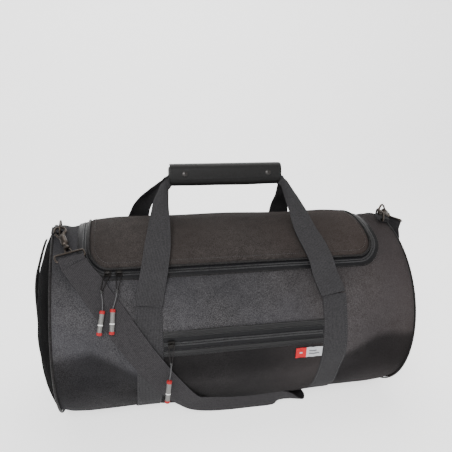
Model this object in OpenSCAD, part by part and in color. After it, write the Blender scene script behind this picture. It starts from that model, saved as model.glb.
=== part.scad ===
// Round barrel duffel bag with a zipped lid, a zipped front pocket, webbing handles and a clip-on shoulder strap.
// X runs along the barrel, -Y is the front, +Z is up, and the origin is the middle of the base on the floor.

/* [Barrel] */
// Outside radius of the barrel fabric
barrel_r = 151; // [140:1:160]
// Length between the outer faces of the two rim pipings
barrel_len = 553; // [540:1:570]
// Thickness of the padded barrel fabric
shell_t = 1.8; // [1.4:0.1:2.2]
// How far each end panel bulges beyond its rim
end_bulge = 26; // [15:1:32]
// Height of the flattened underside above the floor
base_lift = 2; // [1.8:0.1:2.4]

/* [Lid] */
// Half the length of the lid
lid_half = 219; // [200:1:222]
// Angle of the lid's front edge above the horizontal
lid_angle = 44; // [42:1:48]
// Corner radius of the lid, seen from above
lid_corner = 28; // [20:1:34]
// Height of the padded lid above the barrel fabric
lid_proud = 5.6; // [3:0.1:6]

/* [Webbing] */
// Width of all the webbing
web_w = 38; // [30:1:40]
// Thickness of the webbing
web_t = 1.8; // [1.4:0.1:2]
// Distance of each webbing band from the middle of the bag
band_x = 140; // [135:1:145]
// Angle where the handles leave the bands, above the horizontal
stitch_angle = 22; // [20:1:24]

/* [Grip] */
// Length of the padded grip
grip_len = 186; // [150:1:190]
// Height of the grip
grip_h = 33; // [32:1:36]
// Thickness of the grip from front to back
grip_d = 26; // [25:1:30]
// Height of the grip's middle above the floor
grip_z = 376.5; // [374:0.5:386]

/* [Pocket] */
// Angle of the pocket zip above the horizontal
pocket_zip_angle = 1; // [0:0.5:2]
// Lower edge of the pocket panel, below the horizontal
pocket_low_angle = 66; // [60:1:68]

/* [Hidden] */
$fn = 64;

// Height of the barrel's axis: the fabric is pressed flat where the circle would reach the floor.
axis_z = barrel_r;
piping_r = 2.6;
rim_x = barrel_len / 2 - piping_r;
shell_x = rim_x - piping_r - 0.2;
panel_x = rim_x + piping_r + 0.2;
gap = 0.2;
far = 400;

// Lid outline, seen from above, and the zip that runs round it. Offsets are measured along the fabric.
lid_front_y = barrel_r * cos(lid_angle);
hinge_y = lid_front_y;
edge_k = 0.66;
corner_k = 0.8;
piping_w = 2.6;
coil_mid = 8.1;
coil_w = 3.2;
zip_w = 17;
tape_t = 0.8;
tape_r = barrel_r - 0.6;
coil_r = barrel_r + 1.4;
zip_y = lid_front_y + coil_mid * edge_k;
zip_angle = acos(zip_y / (barrel_r + 0.5));

lining_r = barrel_r - 3.2;
lining_t = 1.2;
fabric_t = 1.2;

// Handle leg: root on the stitch line, bowed out over the zip, then straight to the grip.
root_r = 154.2;
bow_r = 163;
bow_angle = 40;
leg_top = [-3.7, grip_z - 6];
run_y = 3.7;
leg_bow_x = 128;
leg_top_x = 101.5;
leg_top_w = 15;
function on_ring(r, a) = [-r * cos(a), axis_z + r * sin(a)];
leg_root = on_ring(root_r, stitch_angle);
leg_bow = on_ring(bow_r, bow_angle);

// Sliders and their pulls: pivot, knot, top and bottom of the grip tube, as [x, angle on the barrel].
slider_left_x = -194.2;
slider_right_x = -178.5;
pivot_r = barrel_r + 5.4;
knot_r = 159.6;
tube_r = 161.2;
function skin(x, a, r) = [x, -r * cos(a), axis_z + r * sin(a)];
pull_left = [skin(slider_left_x, zip_angle, pivot_r), skin(-204, 31, knot_r),
    skin(-203, 21.5, tube_r), skin(-209, 9.5, tube_r)];
pull_right = [skin(slider_right_x, zip_angle, pivot_r), skin(-182, 31, knot_r),
    skin(-189, 22, tube_r), skin(-192, 9.5, tube_r)];
pocket_x = -110;
pocket_pivot = skin(pocket_x, pocket_zip_angle, barrel_r + 6.6);
pull_pocket = [pocket_pivot, pocket_pivot + [-1, 0, -27], pocket_pivot + [-4, 0, -53],
    pocket_pivot + [-8, 0, -88]];
wire_r = 0.9;
tab_half = 4.6;

// Strap rings stand on tabs at the top of each rim, and a snap hook hangs from each.
ring_x = 262;
ring_angle = 76;
ring_wire = 1.6;
ring_bar_z = 155;
ring_top_z = 167.3;
ring_half = 13;
ring_corner = 6;
hook_bend = 8;
hook_wire = 2;
hook_knob = 0.2;
loop_far = 59;
loop_near = 47;
loop_half = 21;
loop_wire = 1.8;
fold_r = 3.8;

// Shoulder strap: points along its middle line, then the way its outer face looks at each.
strap_t = 1.6;
strap_route = [
    [-240, -106, 265], [-230, -117, 252], [-219, -126, 240], [-209, -135, 226], [-198, -142, 211],
    [-187, -148, 196], [-177, -152, 180], [-166, -155, 164], [-156, -155, 148], [-145, -154, 132],
    [-134, -151, 116], [-124, -147, 101], [-113, -141, 86], [-103, -135, 72], [-94, -128, 60],
    [-84, -120, 48], [-72, -111, 37], [-56, -102, 28], [-37, -95.8, 22], [-14, -91.8, 18.5],
    [10, -90.8, 17.5], [34, -90.8, 17.5], [57, -90.8, 17.5], [76, -88, 16.8], [92, -79, 8],
    [105, -66, 2], [109, -50, 1], [101.5, -35, 1], [99.5, -19, 1], [99.5, 2, 1],
    [99.5, 26, 1], [104, 46, 1], [118, 61, 1], [136, 68, 1], [160, 69, 1],
    [195, 69, 1], [232, 69, 1], [270, 69, 1], [292, 68, 1], [305, 68, 5],
    [312, 67, 14], [316, 61, 30], [317, 48, 60], [317, 30, 108], [317, 17, 156],
    [316, 8, 204], [312, 4, 240], [306.5, 2.5, 261], [301.6, 0.4, 276], [301.4, -3.4, 288.6]];
function strap_face(p) = p[0] > 300 ? [1, max(p[2] - 235, 0) / 68, -0.6 / max(p[2], 0.6)]
    : p[2] > 40 ? [0, p[1], p[2] - axis_z] : p[1] > -70 ? [0, 0, -1]
    : [0, -0.89 * min(max(107 - p[0], 0) / 35, 1), p[0] > 90 ? -1 : -0.46];
adjuster_at = [317, 30, 108];
adjuster_along = [0, -15, 48];

// ---- Shared shapes ----

// Draws a Y-Z outline, centred on the barrel's axis, from x0 to x1.
module along_x(x0, x1) {
    translate([x0, 0, axis_z]) rotate([90, 0, 90]) linear_extrude(x1 - x0) children();
}

module pie(a0, a1) {
    steps = ceil((a1 - a0) / 30);
    polygon(concat([[0, 0]],
        [for (i = [0 : steps]) let (a = a0 + (a1 - a0) * i / steps) far * [-cos(a), sin(a)]]));
}

module flat_disc(r, floor_z) {
    intersection() {
        circle(r);
        translate([-far, floor_z - axis_z]) square([2 * far, 2 * far]);
    }
}

// A curved patch on the barrel, between two radii, two angles and two lengths.
module patch(r0, r1, a0, a1, x0, x1) {
    along_x(x0, x1) intersection() {
        difference() {
            circle(r1);
            circle(r0);
        }
        pie(a0, a1);
    }
}

module lid_plan(offset_by, rear_y) {
    half = lid_half + offset_by;
    front = lid_front_y + offset_by * edge_k;
    corner = lid_corner + offset_by * corner_k;
    translate([-half, corner - front]) square([2 * half, rear_y + front - corner]);
    translate([corner - half, -front]) square([2 * (half - corner), corner + 1]);
    for (side = [-1, 1]) translate([side * (half - corner), corner - front]) circle(corner);
}

// A strip that follows the lid's edge on three sides.
module edge_strip(o0, o1, r0, r1, rear_y) {
    intersection() {
        along_x(-far, far) difference() {
            circle(r1);
            circle(r0);
        }
        translate([0, 0, axis_z]) linear_extrude(far) difference() {
            lid_plan(o1, rear_y);
            lid_plan(o0, rear_y + 1);
        }
    }
}

module lid_sheet(inset, r0, r1) {
    intersection() {
        along_x(-far, far) difference() {
            circle(r1);
            circle(r0);
        }
        translate([0, 0, axis_z]) linear_extrude(far) lid_plan(-inset, hinge_y - gap);
    }
}

module lid_cut(offset_by) {
    translate([0, 0, axis_z]) linear_extrude(far) lid_plan(offset_by, hinge_y);
}

// A round bar between two points.
module rod(p, q, r) {
    d = q - p;
    translate(p) rotate([0, acos(d[2] / norm(d)), atan2(d[1], d[0])]) cylinder(h = norm(d), r = r, $fn = 24);
}

// A ball that rounds the joint between two bars, a hair fatter than they are.
module bead(p, r) {
    translate(p) sphere(r + 0.08, $fn = 24);
}

// The local frame at an angle on the barrel: Z points out of the fabric and Y points up and back.
module at_angle(x, a) {
    translate([x, 0, axis_z]) rotate([90 - a, 0, 0]) children();
}

function unit(v) = v / norm(v);
function away(points, i) = unit(points[min(i + 1, len(points) - 1)] - points[max(i - 1, 0)]);

module tube(points, r, sides) {
    n = len(points);
    rings = [for (i = [0 : n - 1]) let (t = away(points, i), u = unit(cross(t, [0.3, 1, 0.2])), v = cross(t, u))
        for (k = [0 : sides - 1]) points[i] + r * (cos(360 * k / sides) * u + sin(360 * k / sides) * v)];
    sweep(rings, n, sides);
}

module sweep(rings, n, sides) {
    polyhedron(rings, concat([[for (k = [0 : sides - 1]) k]],
        [for (i = [0 : n - 2]) for (k = [0 : sides - 1]) let (m = (k + 1) % sides)
            [i * sides + m, i * sides + k, (i + 1) * sides + k, (i + 1) * sides + m]],
        [[for (k = [sides - 1 : -1 : 0]) (n - 1) * sides + k]]));
}

module ribbon(points, w, t) {
    n = len(points);
    edge = 0.5;
    outline = [[-w / 2, -t / 4], [-w / 2 + edge, -t / 2], [w / 2 - edge, -t / 2], [w / 2, -t / 4],
        [w / 2, t / 4], [w / 2 - edge, t / 2], [-w / 2 + edge, t / 2], [-w / 2, t / 4]];
    rings = [for (i = [0 : n - 1]) let (d = away(points, i), side = unit(cross(d, strap_face(points[i]))),
        up = cross(side, d)) for (k = [0 : 7]) points[i] + outline[k][0] * side + outline[k][1] * up];
    sweep(rings, n, 8);
}

// ---- Barrel ----

module barrel_panel() {
    color("#2b2b2e") difference() {
        along_x(-shell_x, shell_x) difference() {
            flat_disc(barrel_r, base_lift);
            flat_disc(barrel_r - shell_t, base_lift + shell_t);
        }
        lid_cut(zip_w);
    }
}

module barrel_lining() {
    floor_z = base_lift + shell_t + 1.4;
    color("#3a3b40") difference() {
        along_x(1 - shell_x, shell_x - 1) flat_disc(lining_r, floor_z);
        along_x(2 - shell_x, shell_x - 2) flat_disc(lining_r - lining_t, floor_z + lining_t);
        lid_cut(zip_w);
    }
}

module base_board() {
    half_x = 235;
    half_y = 74;
    corner = 12;
    color("#1a1a1a") translate([0, 0, 27]) linear_extrude(2.5) {
        square([2 * half_x, 2 * (half_y - corner)], center = true);
        square([2 * (half_x - corner), 2 * half_y], center = true);
        for (x = [-1, 1], y = [-1, 1]) translate([x * (half_x - corner), y * (half_y - corner)]) circle(corner);
    }
}

module end_panel() {
    rim = barrel_r - 1;
    dome = (rim * rim + end_bulge * end_bulge) / (2 * end_bulge);
    thick = 2.4;
    intersection() {
        translate([panel_x, 0, axis_z]) rotate([0, 90, 0]) rotate_extrude() intersection() {
            difference() {
                translate([0, end_bulge - dome]) circle(dome, $fn = 200);
                translate([0, end_bulge - dome - thick]) circle(dome, $fn = 200);
            }
            square([rim, end_bulge + 1]);
        }
        translate([0, -far, base_lift]) cube([far, 2 * far, far]);
    }
}

module end_panel_left() {
    color("#242427") mirror([1, 0, 0]) end_panel();
}

module end_panel_right() {
    color("#242427") end_panel();
}

// The rim piping is a round cord, pressed flat where the bag stands.
module end_pipings() {
    flat_half = 11.1;
    flat_y = barrel_r * sin(flat_half) + 0.4;
    color("#202022") for (side = [-1, 1]) translate([side * rim_x, 0, 0]) {
        translate([0, 0, axis_z]) rotate([0, 90, 0]) rotate([0, 0, flat_half])
            rotate_extrude(angle = 360 - 2 * flat_half) translate([barrel_r, 0]) circle(piping_r, $fn = 24);
        translate([0.1 - piping_r, -flat_y, 1.4]) cube([2 * piping_r - 0.2, 2 * flat_y, 3.2]);
    }
}

// ---- Lid and its zip ----

zip_end_y = hinge_y - 8;

module zip_tape_body() {
    color("#101012") edge_strip(coil_mid + gap, zip_w - gap, tape_r - tape_t, tape_r, zip_end_y);
}

module zip_coil_body() {
    color("#18181a") edge_strip(coil_mid + gap, coil_mid + coil_w, tape_r + gap, coil_r, zip_end_y);
}

module lid_panel() {
    color("#343230") lid_sheet(0, barrel_r - gap, barrel_r + lid_proud);
}

module lid_lining() {
    color("#3a3b40") lid_sheet(7, tape_r - 0.8, tape_r);
}

module lid_piping() {
    color("#1d1d1f") edge_strip(gap, piping_w, barrel_r + 0.4, barrel_r + lid_proud - 1, zip_end_y);
}

module zip_tape_lid() {
    color("#101012") edge_strip(-6, coil_mid - gap, tape_r - tape_t, tape_r, zip_end_y);
}

module zip_coil_lid() {
    color("#18181a") edge_strip(coil_mid - coil_w, coil_mid - gap, tape_r + gap, coil_r, zip_end_y);
}

// ---- Front pocket ----

pocket_half = band_x - web_w / 2 - 0.5;
welt_angle = 3.6;
tape_angle = 3.4;

module pocket_panel() {
    color("#26262a") patch(barrel_r + gap, barrel_r + gap + fabric_t, -pocket_low_angle,
        pocket_zip_angle - tape_angle - welt_angle - 0.2, -pocket_half, pocket_half);
}

module pocket_lining() {
    color("#3a3b40") patch(lining_r + gap, barrel_r - shell_t - gap, 3 - pocket_low_angle,
        pocket_zip_angle + 3, 3 - pocket_half, pocket_half - 3);
}

module pocket_zip_tapes() {
    color("#101012") for (a = [-tape_angle, 0.1])
        patch(barrel_r + gap, barrel_r + gap + tape_t, pocket_zip_angle + a,
            pocket_zip_angle + a + tape_angle - 0.1, -pocket_half, pocket_half);
}

module pocket_zip_coil() {
    color("#18181a") patch(barrel_r + 1.2, barrel_r + 3, pocket_zip_angle - 1.1, pocket_zip_angle + 1.1,
        -pocket_half, pocket_half);
}

module pocket_welt(a) {
    patch(barrel_r + gap, barrel_r + 2.6, a, a + welt_angle, -pocket_half, pocket_half);
}

module pocket_welt_upper() {
    color("#0e0e10") pocket_welt(pocket_zip_angle + tape_angle + 0.1);
}

module pocket_welt_lower() {
    color("#0e0e10") pocket_welt(pocket_zip_angle - tape_angle - welt_angle - 0.1);
}

module front_label() {
    color("#c0282d") patch(barrel_r + fabric_t + 2 * gap, barrel_r + fabric_t + 2 * gap + 0.9, -14.2, -7.7,
        77, pocket_half - 1);
}

// ---- Webbing ----

module band(x) {
    low_angle = -180 - stitch_angle;
    along_x(x - web_w / 2, x + web_w / 2) intersection() {
        difference() {
            flat_disc(barrel_r + web_t + 0.1, 0);
            flat_disc(barrel_r + 0.1, base_lift - 0.1);
        }
        pie(low_angle, stitch_angle);
    }
}

module webbing_band_left() {
    color("#2f2f32") band(-band_x);
}

module webbing_band_right() {
    color("#2f2f32") band(band_x);
}

// A flat sheet that spans two lines in the Y-Z plane, with its own middle and width on X at each.
module leg_sheet(p, q, x0, w0, x1, w1) {
    d = q - p;
    translate([0, p[0], p[1]]) rotate([atan2(d[1], d[0]), 0, 0]) translate([0, 0, -web_t / 2])
        linear_extrude(web_t) polygon([[x0 - w0 / 2, 0], [x0 + w0 / 2, 0], [x1 + w1 / 2, norm(d)],
            [x1 - w1 / 2, norm(d)]]);
}

module roots() {
    top = leg_bow - 0.5 * unit(leg_bow - leg_root);
    for (side = [-1, 1]) leg_sheet(leg_root, top, side * band_x, web_w, side * leg_bow_x, web_w);
}

module upper_handle() {
    for (side = [-1, 1]) leg_sheet(leg_bow, leg_top, side * leg_bow_x, web_w, side * leg_top_x, leg_top_w);
    translate([-leg_top_x - leg_top_w / 2, -run_y - web_t / 2, grip_z - 12])
        cube([2 * leg_top_x + leg_top_w, web_t, 24]);
}

module handle_front_webbing() {
    color("#2f2f32") upper_handle();
}

module handle_front_roots() {
    color("#2f2f32") roots();
}

module handle_rear_webbing() {
    fold = web_w / 2 + 0.2;
    color("#2f2f32") mirror([0, 1, 0]) {
        upper_handle();
        roots();
        for (side = [-1, 1]) translate([0, leg_bow[0], leg_bow[1]])
            rod([side * leg_bow_x - fold, 0, 0], [side * leg_bow_x + fold, 0, 0], web_t / 2 + 0.2);
    }
}

// ---- Grip ----

module rounded(d, h, corner) {
    square([d - 2 * corner, h], center = true);
    square([d, h - 2 * corner], center = true);
    for (y = [-1, 1], z = [-1, 1]) translate([y * (d / 2 - corner), z * (h / 2 - corner)]) circle(corner);
}

// The front half of a hollow rounded bar round the handle webbing.
module half_bar(d, h, corner, hole_d, hole_h, hole_corner, length) {
    translate([0, 0, grip_z - axis_z]) along_x(-length / 2, length / 2) difference() {
        rounded(d, h, corner);
        if (hole_corner > 0) rounded(hole_d, hole_h, hole_corner);
        if (hole_corner == 0) square([hole_d, hole_h], center = true);
        translate([-gap, -far / 2]) square([far, far]);
    }
}

cover_t = 1.5;
pocket_d = 2 * run_y + 3.2;
pocket_h = 25.2;

module cover_half() {
    half_bar(grip_d, grip_h, 9, grip_d - 2 * cover_t, grip_h - 2 * cover_t, 7.5, grip_len);
}

module pad_half() {
    half_bar(grip_d - 2 * cover_t - gap, grip_h - 2 * cover_t - gap, 7.4, pocket_d, pocket_h, 0, grip_len - 6);
}

module grip_cover_front() {
    color("#1b1a1a") cover_half();
}

module grip_pad_front() {
    color("#4a4a4a") pad_half();
}

module grip_cover_rear() {
    color("#1b1a1a") mirror([0, 1, 0]) cover_half();
}

module grip_pad_rear() {
    color("#4a4a4a") mirror([0, 1, 0]) pad_half();
}

snap_x = 69;
snap_z = grip_z + 4;
flap_gap = 0.4;
flap_t = 1.4;

module grip_snap_studs() {
    color("#5a5a5c") for (side = [-1, 1]) translate([side * snap_x, -grip_d / 2, snap_z])
        rotate([90, 0, 0]) cylinder(h = flap_gap - 0.1, r = 5);
}

module grip_flap() {
    color("#1b1a1a") translate([0, 0, grip_z - axis_z]) along_x(-grip_len / 2, grip_len / 2) intersection() {
        difference() {
            rounded(grip_d + 2 * (flap_gap + flap_t), grip_h + 2 * (flap_gap + flap_t), 10.8);
            rounded(grip_d + 2 * flap_gap, grip_h + 2 * flap_gap, 9.4);
        }
        polygon([[-far, -grip_h / 4], [0, 0], [6, 0], [6, far], [-far, far]]);
    }
}

module grip_snap_caps() {
    face_y = grip_d / 2 + flap_gap + flap_t;
    color("#2e2e30") for (side = [-1, 1]) translate([side * snap_x, -face_y, snap_z]) rotate([90, 0, 0]) {
        cylinder(h = 0.8, r = 6);
        translate([0, 0, 0.8]) cylinder(h = 0.7, r1 = 6, r2 = 4.6);
    }
}

// ---- Zip sliders and pulls ----

// The slider straddles the coil and turns with it; its bail is bored along X for the tab's wire.
module slider(seat_r, pin_r, turn = 0) {
    half = 4.8;
    wall = 0.7;
    lid_side = 5.2;
    body_side = -4.9;
    bail = 2.3;
    difference() {
        union() {
            rotate([0, 0, turn]) translate([0, abs(turn) / 25, 0]) {
                translate([-half, body_side, seat_r + 0.4]) cube([2 * half, lid_side - body_side, 1.6]);
                for (y = [body_side, lid_side - wall]) translate([-half, y, seat_r - 0.4]) cube([2 * half, wall, 1.2]);
            }
            translate([-bail, -2, seat_r + 1.8]) cube([2 * bail, 4, pin_r - seat_r - 1.8]);
            translate([-bail, 0, pin_r]) rotate([0, 90, 0]) cylinder(h = 2 * bail, r = 2);
        }
        translate([-10, 0, pin_r]) rotate([0, 90, 0]) cylinder(h = 20, r = wire_r + 0.3);
    }
}

module zip_slider_left() {
    color("#3c3a38") at_angle(slider_left_x, zip_angle) slider(coil_r, pivot_r, -5);
}

module zip_slider_right() {
    color("#3c3a38") at_angle(slider_right_x, zip_angle) slider(coil_r, pivot_r);
}

module pocket_slider() {
    color("#3c3a38") at_angle(pocket_x, pocket_zip_angle) slider(barrel_r + 3.1, barrel_r + 6.6);
}

module tab(pull) {
    side = [tab_half, 0, 0];
    foot = [1.8, 0, 0];
    corners = [pull[0] - side, pull[0] + side, pull[1] + foot, pull[1] - foot];
    for (i = [0 : 3]) {
        rod(corners[i], corners[(i + 1) % 4], wire_r);
        bead(corners[i], wire_r);
    }
}

// Knot under the tab, and the cord down to the grip tube.
module pull_cord(pull) {
    start = pull[1] + 1.4 * unit(pull[2] - pull[1]);
    end = pull[2] - 0.4 * unit(pull[2] - pull[1]);
    tube([for (i = [0 : 5]) start + (end - start) * i / 5], 0.8, 8);
}

module pull_grip(pull) {
    d = unit(pull[3] - pull[2]);
    cap = 4.5;
    rod(pull[2] + cap * d, pull[3] - cap * d, 3.3);
    rod(pull[2] + 0.1 * d, pull[2] + (cap - 0.05) * d, 3.6);
    rod(pull[3] - (cap - 0.05) * d, pull[3], 3.6);
}

module pull_tab_left() {
    color("#8c8a86") tab(pull_left);
}

module pull_tab_right() {
    color("#8c8a86") tab(pull_right);
}

module pull_tab_pocket() {
    color("#8c8a86") tab(pull_pocket);
}

module pull_cord_left() {
    color("#8d8f92") pull_cord(pull_left);
}

module pull_cord_right() {
    color("#8d8f92") pull_cord(pull_right);
}

module pull_cord_pocket() {
    color("#8d8f92") pull_cord(pull_pocket);
}

module pull_grip_left() {
    color("#a5453d") pull_grip(pull_left);
}

module pull_grip_right() {
    color("#a5453d") pull_grip(pull_right);
}

module pull_grip_pocket() {
    color("#a5453d") pull_grip(pull_pocket);
}

// ---- Strap rings and tabs ----

module ring_tab() {
    loop_r = ring_wire + 0.3 + 1.4;
    half = ring_half - ring_wire - 0.8;
    difference() {
        union() {
            translate([-ring_x - 14.5, -half, barrel_r + 3]) cube([14.5, 2 * half, 2.8]);
            translate([-ring_x, half, ring_bar_z]) rotate([90, 0, 0]) cylinder(h = 2 * half, r = loop_r);
        }
        translate([-ring_x, far, ring_bar_z]) rotate([90, 0, 0]) cylinder(h = 2 * far, r = ring_wire + 0.3);
    }
}

module ring_tabs() {
    color("#2f2f32") {
        at_angle(0, ring_angle) ring_tab();
        at_angle(0, ring_angle) mirror([1, 0, 0]) ring_tab();
    }
}

module strap_ring() {
    low = [0, ring_half, ring_bar_z];
    straight = ring_top_z - ring_corner;
    rod([0, -ring_half, ring_bar_z], low, ring_wire);
    for (side = [-1, 1]) {
        bead([0, side * ring_half, ring_bar_z], ring_wire);
        rod([0, side * ring_half, ring_bar_z], [0, side * ring_half, straight], ring_wire);
        translate([0, side * (ring_half - ring_corner), straight]) rotate([0, -90, 0])
            rotate([0, 0, side > 0 ? 0 : -90]) rotate_extrude(angle = 90) translate([ring_corner, 0])
                circle(ring_wire, $fn = 24);
    }
    rod([0, ring_corner - ring_half, ring_top_z], [0, ring_half - ring_corner, ring_top_z], ring_wire);
}

module ring_left() {
    color("#77756f") at_angle(-ring_x, ring_angle) strap_ring();
}

module ring_right() {
    color("#77756f") at_angle(ring_x, ring_angle) strap_ring();
}

// ---- Snap hooks: drawn with the bend round the origin and the strap loop towards -Y ----

module hook_body() {
    rotate([0, 0, -68]) rotate_extrude(angle = 256) translate([hook_bend, 0]) circle(hook_wire, $fn = 24);
    bead([hook_bend * cos(68), -hook_bend * sin(68), 0], hook_wire + hook_knob);
    bead([-hook_bend * cos(8), -hook_bend * sin(8), 0], hook_wire + hook_knob);
    rod([hook_bend * cos(68), -hook_bend * sin(68), 0], [0, -14, 0], hook_wire);
    bead([0, -14, 0], hook_wire + hook_knob);
    rod([0, -14, 0], [0, -40, 0], hook_wire);
    rod([0, -39.4, 0], [0, -42, 0], 2.8);
}

gate_pin = [-4.3, -15, 0];
gate_tip = [-7.6, -5.2, 0];
gate_r = 1.5;

module hook_gate() {
    rod(gate_pin, gate_tip, gate_r);
    bead(gate_pin, gate_r + 0.15);
    bead(gate_tip, gate_r + 0.15);
}

module hook_swivel() {
    difference() {
        rod([0, -35, 0], [0, -38.6, 0], 4.2);
        rod([0, -30, 0], [0, -45, 0], hook_wire + 0.3);
    }
    for (side = [-1, 1]) {
        translate([side * 3.9 - 0.8, -loop_near, -1.5]) cube([1.6, loop_near - 37, 3]);
        rod([side * loop_half, -loop_near, 0], [side * loop_half, -loop_far, 0], loop_wire);
        bead([side * loop_half, -loop_near, 0], loop_wire + hook_knob);
        bead([side * loop_half, -loop_far, 0], loop_wire + hook_knob);
    }
    for (y = [loop_near, loop_far]) rod([-loop_half, -y, 0], [loop_half, -y, 0], loop_wire);
}

module strap_fold() {
    difference() {
        rod([0.5 - web_w / 2, -loop_far, 0], [web_w / 2 - 0.5, -loop_far, 0], fold_r);
        rod([-web_w, -loop_far, 0], [web_w, -loop_far, 0], loop_wire + 0.2);
    }
}

left_bend = [0, -ring_half, 160.5];
left_tilt = 19;
left_slant = 17;
right_bend = [0, 0, ring_top_z + 3.4];
right_tilt = -58;
right_swing = 37;

module on_left() {
    at_angle(-ring_x, ring_angle) translate(left_bend) rotate([left_tilt, 0, 0])
        rotate([0, 0, left_slant]) children();
}

module on_right() {
    at_angle(ring_x, ring_angle) translate(right_bend) rotate([0, 0, right_swing]) rotate([0, right_tilt, 0])
        rotate([90, 0, 0]) rotate([0, 180, 0]) children();
}

module hook_left() {
    color("#77756f") on_left() hook_body();
}

module hook_gate_left() {
    color("#8f8d88") on_left() hook_gate();
}

module hook_swivel_left() {
    color("#77756f") on_left() hook_swivel();
}

module hook_right() {
    color("#77756f") on_right() hook_body();
}

module hook_gate_right() {
    color("#8f8d88") on_right() hook_gate();
}

module hook_swivel_right() {
    color("#77756f") on_right() rotate([0, 90, 0]) hook_swivel();
}

module strap_end_folds() {
    color("#2f2f32") {
        on_left() strap_fold();
        on_right() rotate([0, 90, 0]) strap_fold();
    }
}

// ---- Shoulder strap ----

module shoulder_strap() {
    color("#2f2f32") ribbon(strap_route, web_w, strap_t);
}

// A three-bar slide: the strap runs through its two slots.
module strap_adjuster() {
    half = web_w / 2 + 3;
    color("#151515") translate(adjuster_at) rotate([atan2(adjuster_along[2], adjuster_along[1]) - 90, 0, 0])
        rotate([90, 0, 90]) translate([0, 0, -3.2]) difference() {
            translate([-half, -12, 0]) cube([2 * half, 24, 6.4]);
            translate([-web_w / 2 - 0.4, -30, 2.2]) cube([web_w + 0.8, 60, 2]);
            for (y = [-8.4, 1.2]) translate([-web_w / 2 - 0.4, y, -1]) cube([web_w + 0.8, 7.2, 10]);
        }
}

// ---- End grab handles ----

// A strip of webbing along a bowed path in the X-Z plane.
function strip(path, t) = let (n = len(path), normals = [for (i = [0 : n - 1]) let (d = away(path, i)) [d[1], -d[0]]])
    concat([for (i = [0 : n - 1]) path[i] + normals[i] * t / 2],
        [for (i = [n - 1 : -1 : 0]) path[i] - normals[i] * t / 2]);

end_path = [[285.9, 277], [289.7, 268], [295.5, 257], [300.5, 245], [304, 232], [305.8, 218], [306.6, 204],
    [306.8, 190], [306.3, 176], [305.2, 164], [303.9, 150]];

module end_handle() {
    translate([0, web_w / 2, 0]) rotate([90, 0, 0]) linear_extrude(web_w) polygon(strip(end_path, web_t));
}

module end_handle_left() {
    color("#2f2f32") mirror([1, 0, 0]) end_handle();
}

module end_handle_right() {
    color("#2f2f32") end_handle();
}

barrel_panel();
barrel_lining();
base_board();
end_panel_left();
end_panel_right();
end_pipings();
zip_tape_body();
zip_coil_body();
pocket_panel();
pocket_lining();
pocket_zip_tapes();
pocket_zip_coil();
pocket_welt_upper();
pocket_welt_lower();
front_label();
webbing_band_left();
webbing_band_right();
ring_tabs();
end_handle_left();
end_handle_right();
hook_swivel_left();
hook_swivel_right();
strap_end_folds();
shoulder_strap();
strap_adjuster();
lid_panel();
lid_lining();
lid_piping();
zip_tape_lid();
zip_coil_lid();
handle_front_webbing();
handle_front_roots();
grip_cover_front();
grip_pad_front();
grip_snap_studs();
handle_rear_webbing();
grip_cover_rear();
grip_pad_rear();
grip_flap();
grip_snap_caps();
zip_slider_left();
zip_slider_right();
pocket_slider();
pull_tab_left();
pull_tab_right();
pull_tab_pocket();
pull_cord_left();
pull_cord_right();
pull_cord_pocket();
pull_grip_left();
pull_grip_right();
pull_grip_pocket();
ring_left();
ring_right();
hook_left();
hook_right();
hook_gate_left();
hook_gate_right();
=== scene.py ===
"""Looks of the barrel duffel bag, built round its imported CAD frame. Metres; -Y is the front, +Z is up."""

import math
import random

import bpy
import numpy as np
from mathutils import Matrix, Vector


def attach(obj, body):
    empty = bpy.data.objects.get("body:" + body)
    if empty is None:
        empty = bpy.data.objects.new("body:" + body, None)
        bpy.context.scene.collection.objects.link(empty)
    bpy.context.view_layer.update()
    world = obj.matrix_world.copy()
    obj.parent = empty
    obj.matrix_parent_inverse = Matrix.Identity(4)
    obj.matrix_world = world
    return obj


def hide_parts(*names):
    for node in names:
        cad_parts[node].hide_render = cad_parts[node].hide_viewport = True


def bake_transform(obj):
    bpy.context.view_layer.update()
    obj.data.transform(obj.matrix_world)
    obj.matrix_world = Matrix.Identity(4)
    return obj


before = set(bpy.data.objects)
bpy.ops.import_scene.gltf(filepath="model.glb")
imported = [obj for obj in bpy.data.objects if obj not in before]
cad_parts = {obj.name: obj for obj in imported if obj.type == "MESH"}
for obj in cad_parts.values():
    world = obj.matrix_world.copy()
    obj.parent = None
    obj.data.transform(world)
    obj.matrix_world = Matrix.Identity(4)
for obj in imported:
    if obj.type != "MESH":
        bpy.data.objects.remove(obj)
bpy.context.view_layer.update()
rng = random.Random(11)

# ---------------- sizes shared with the CAD

R = 0.151  # barrel, to the outside of its cloth
AXIS_Z = 0.151
RIM_X = 0.2739  # middle of the rim pipings
SHELL_X = 0.2728  # ends of the barrel's cloth
BAND_X = 0.140  # middle of the webbing bands
WEB = 0.038  # width of all the webbing
WEB_THICK = 0.0018
LID_HALF = 0.219
LID_FRONT = R * math.cos(math.radians(44))
LID_CORNER = 0.028
EDGE_K, CORNER_K = 0.66, 0.8  # growth of the lines outside the lid's edge: along the front, round the corners
LID_TOP = 0.0056  # top of the lid above the barrel
ZIP_END = LID_FRONT - 0.008
ZIP_LINE = 0.0081  # middle of the lid's zip outside the lid's edge
TOOTH_PITCH = 0.0016
GRIP_Z = 0.3765
GRIP_LENGTH, GRIP_HALF_Y, GRIP_HALF_Z = 0.186, 0.0130, 0.0165
SNAP_X = 0.069
SIDES = ((-1, "left"), (1, "right"))

# ---------------- camera

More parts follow.
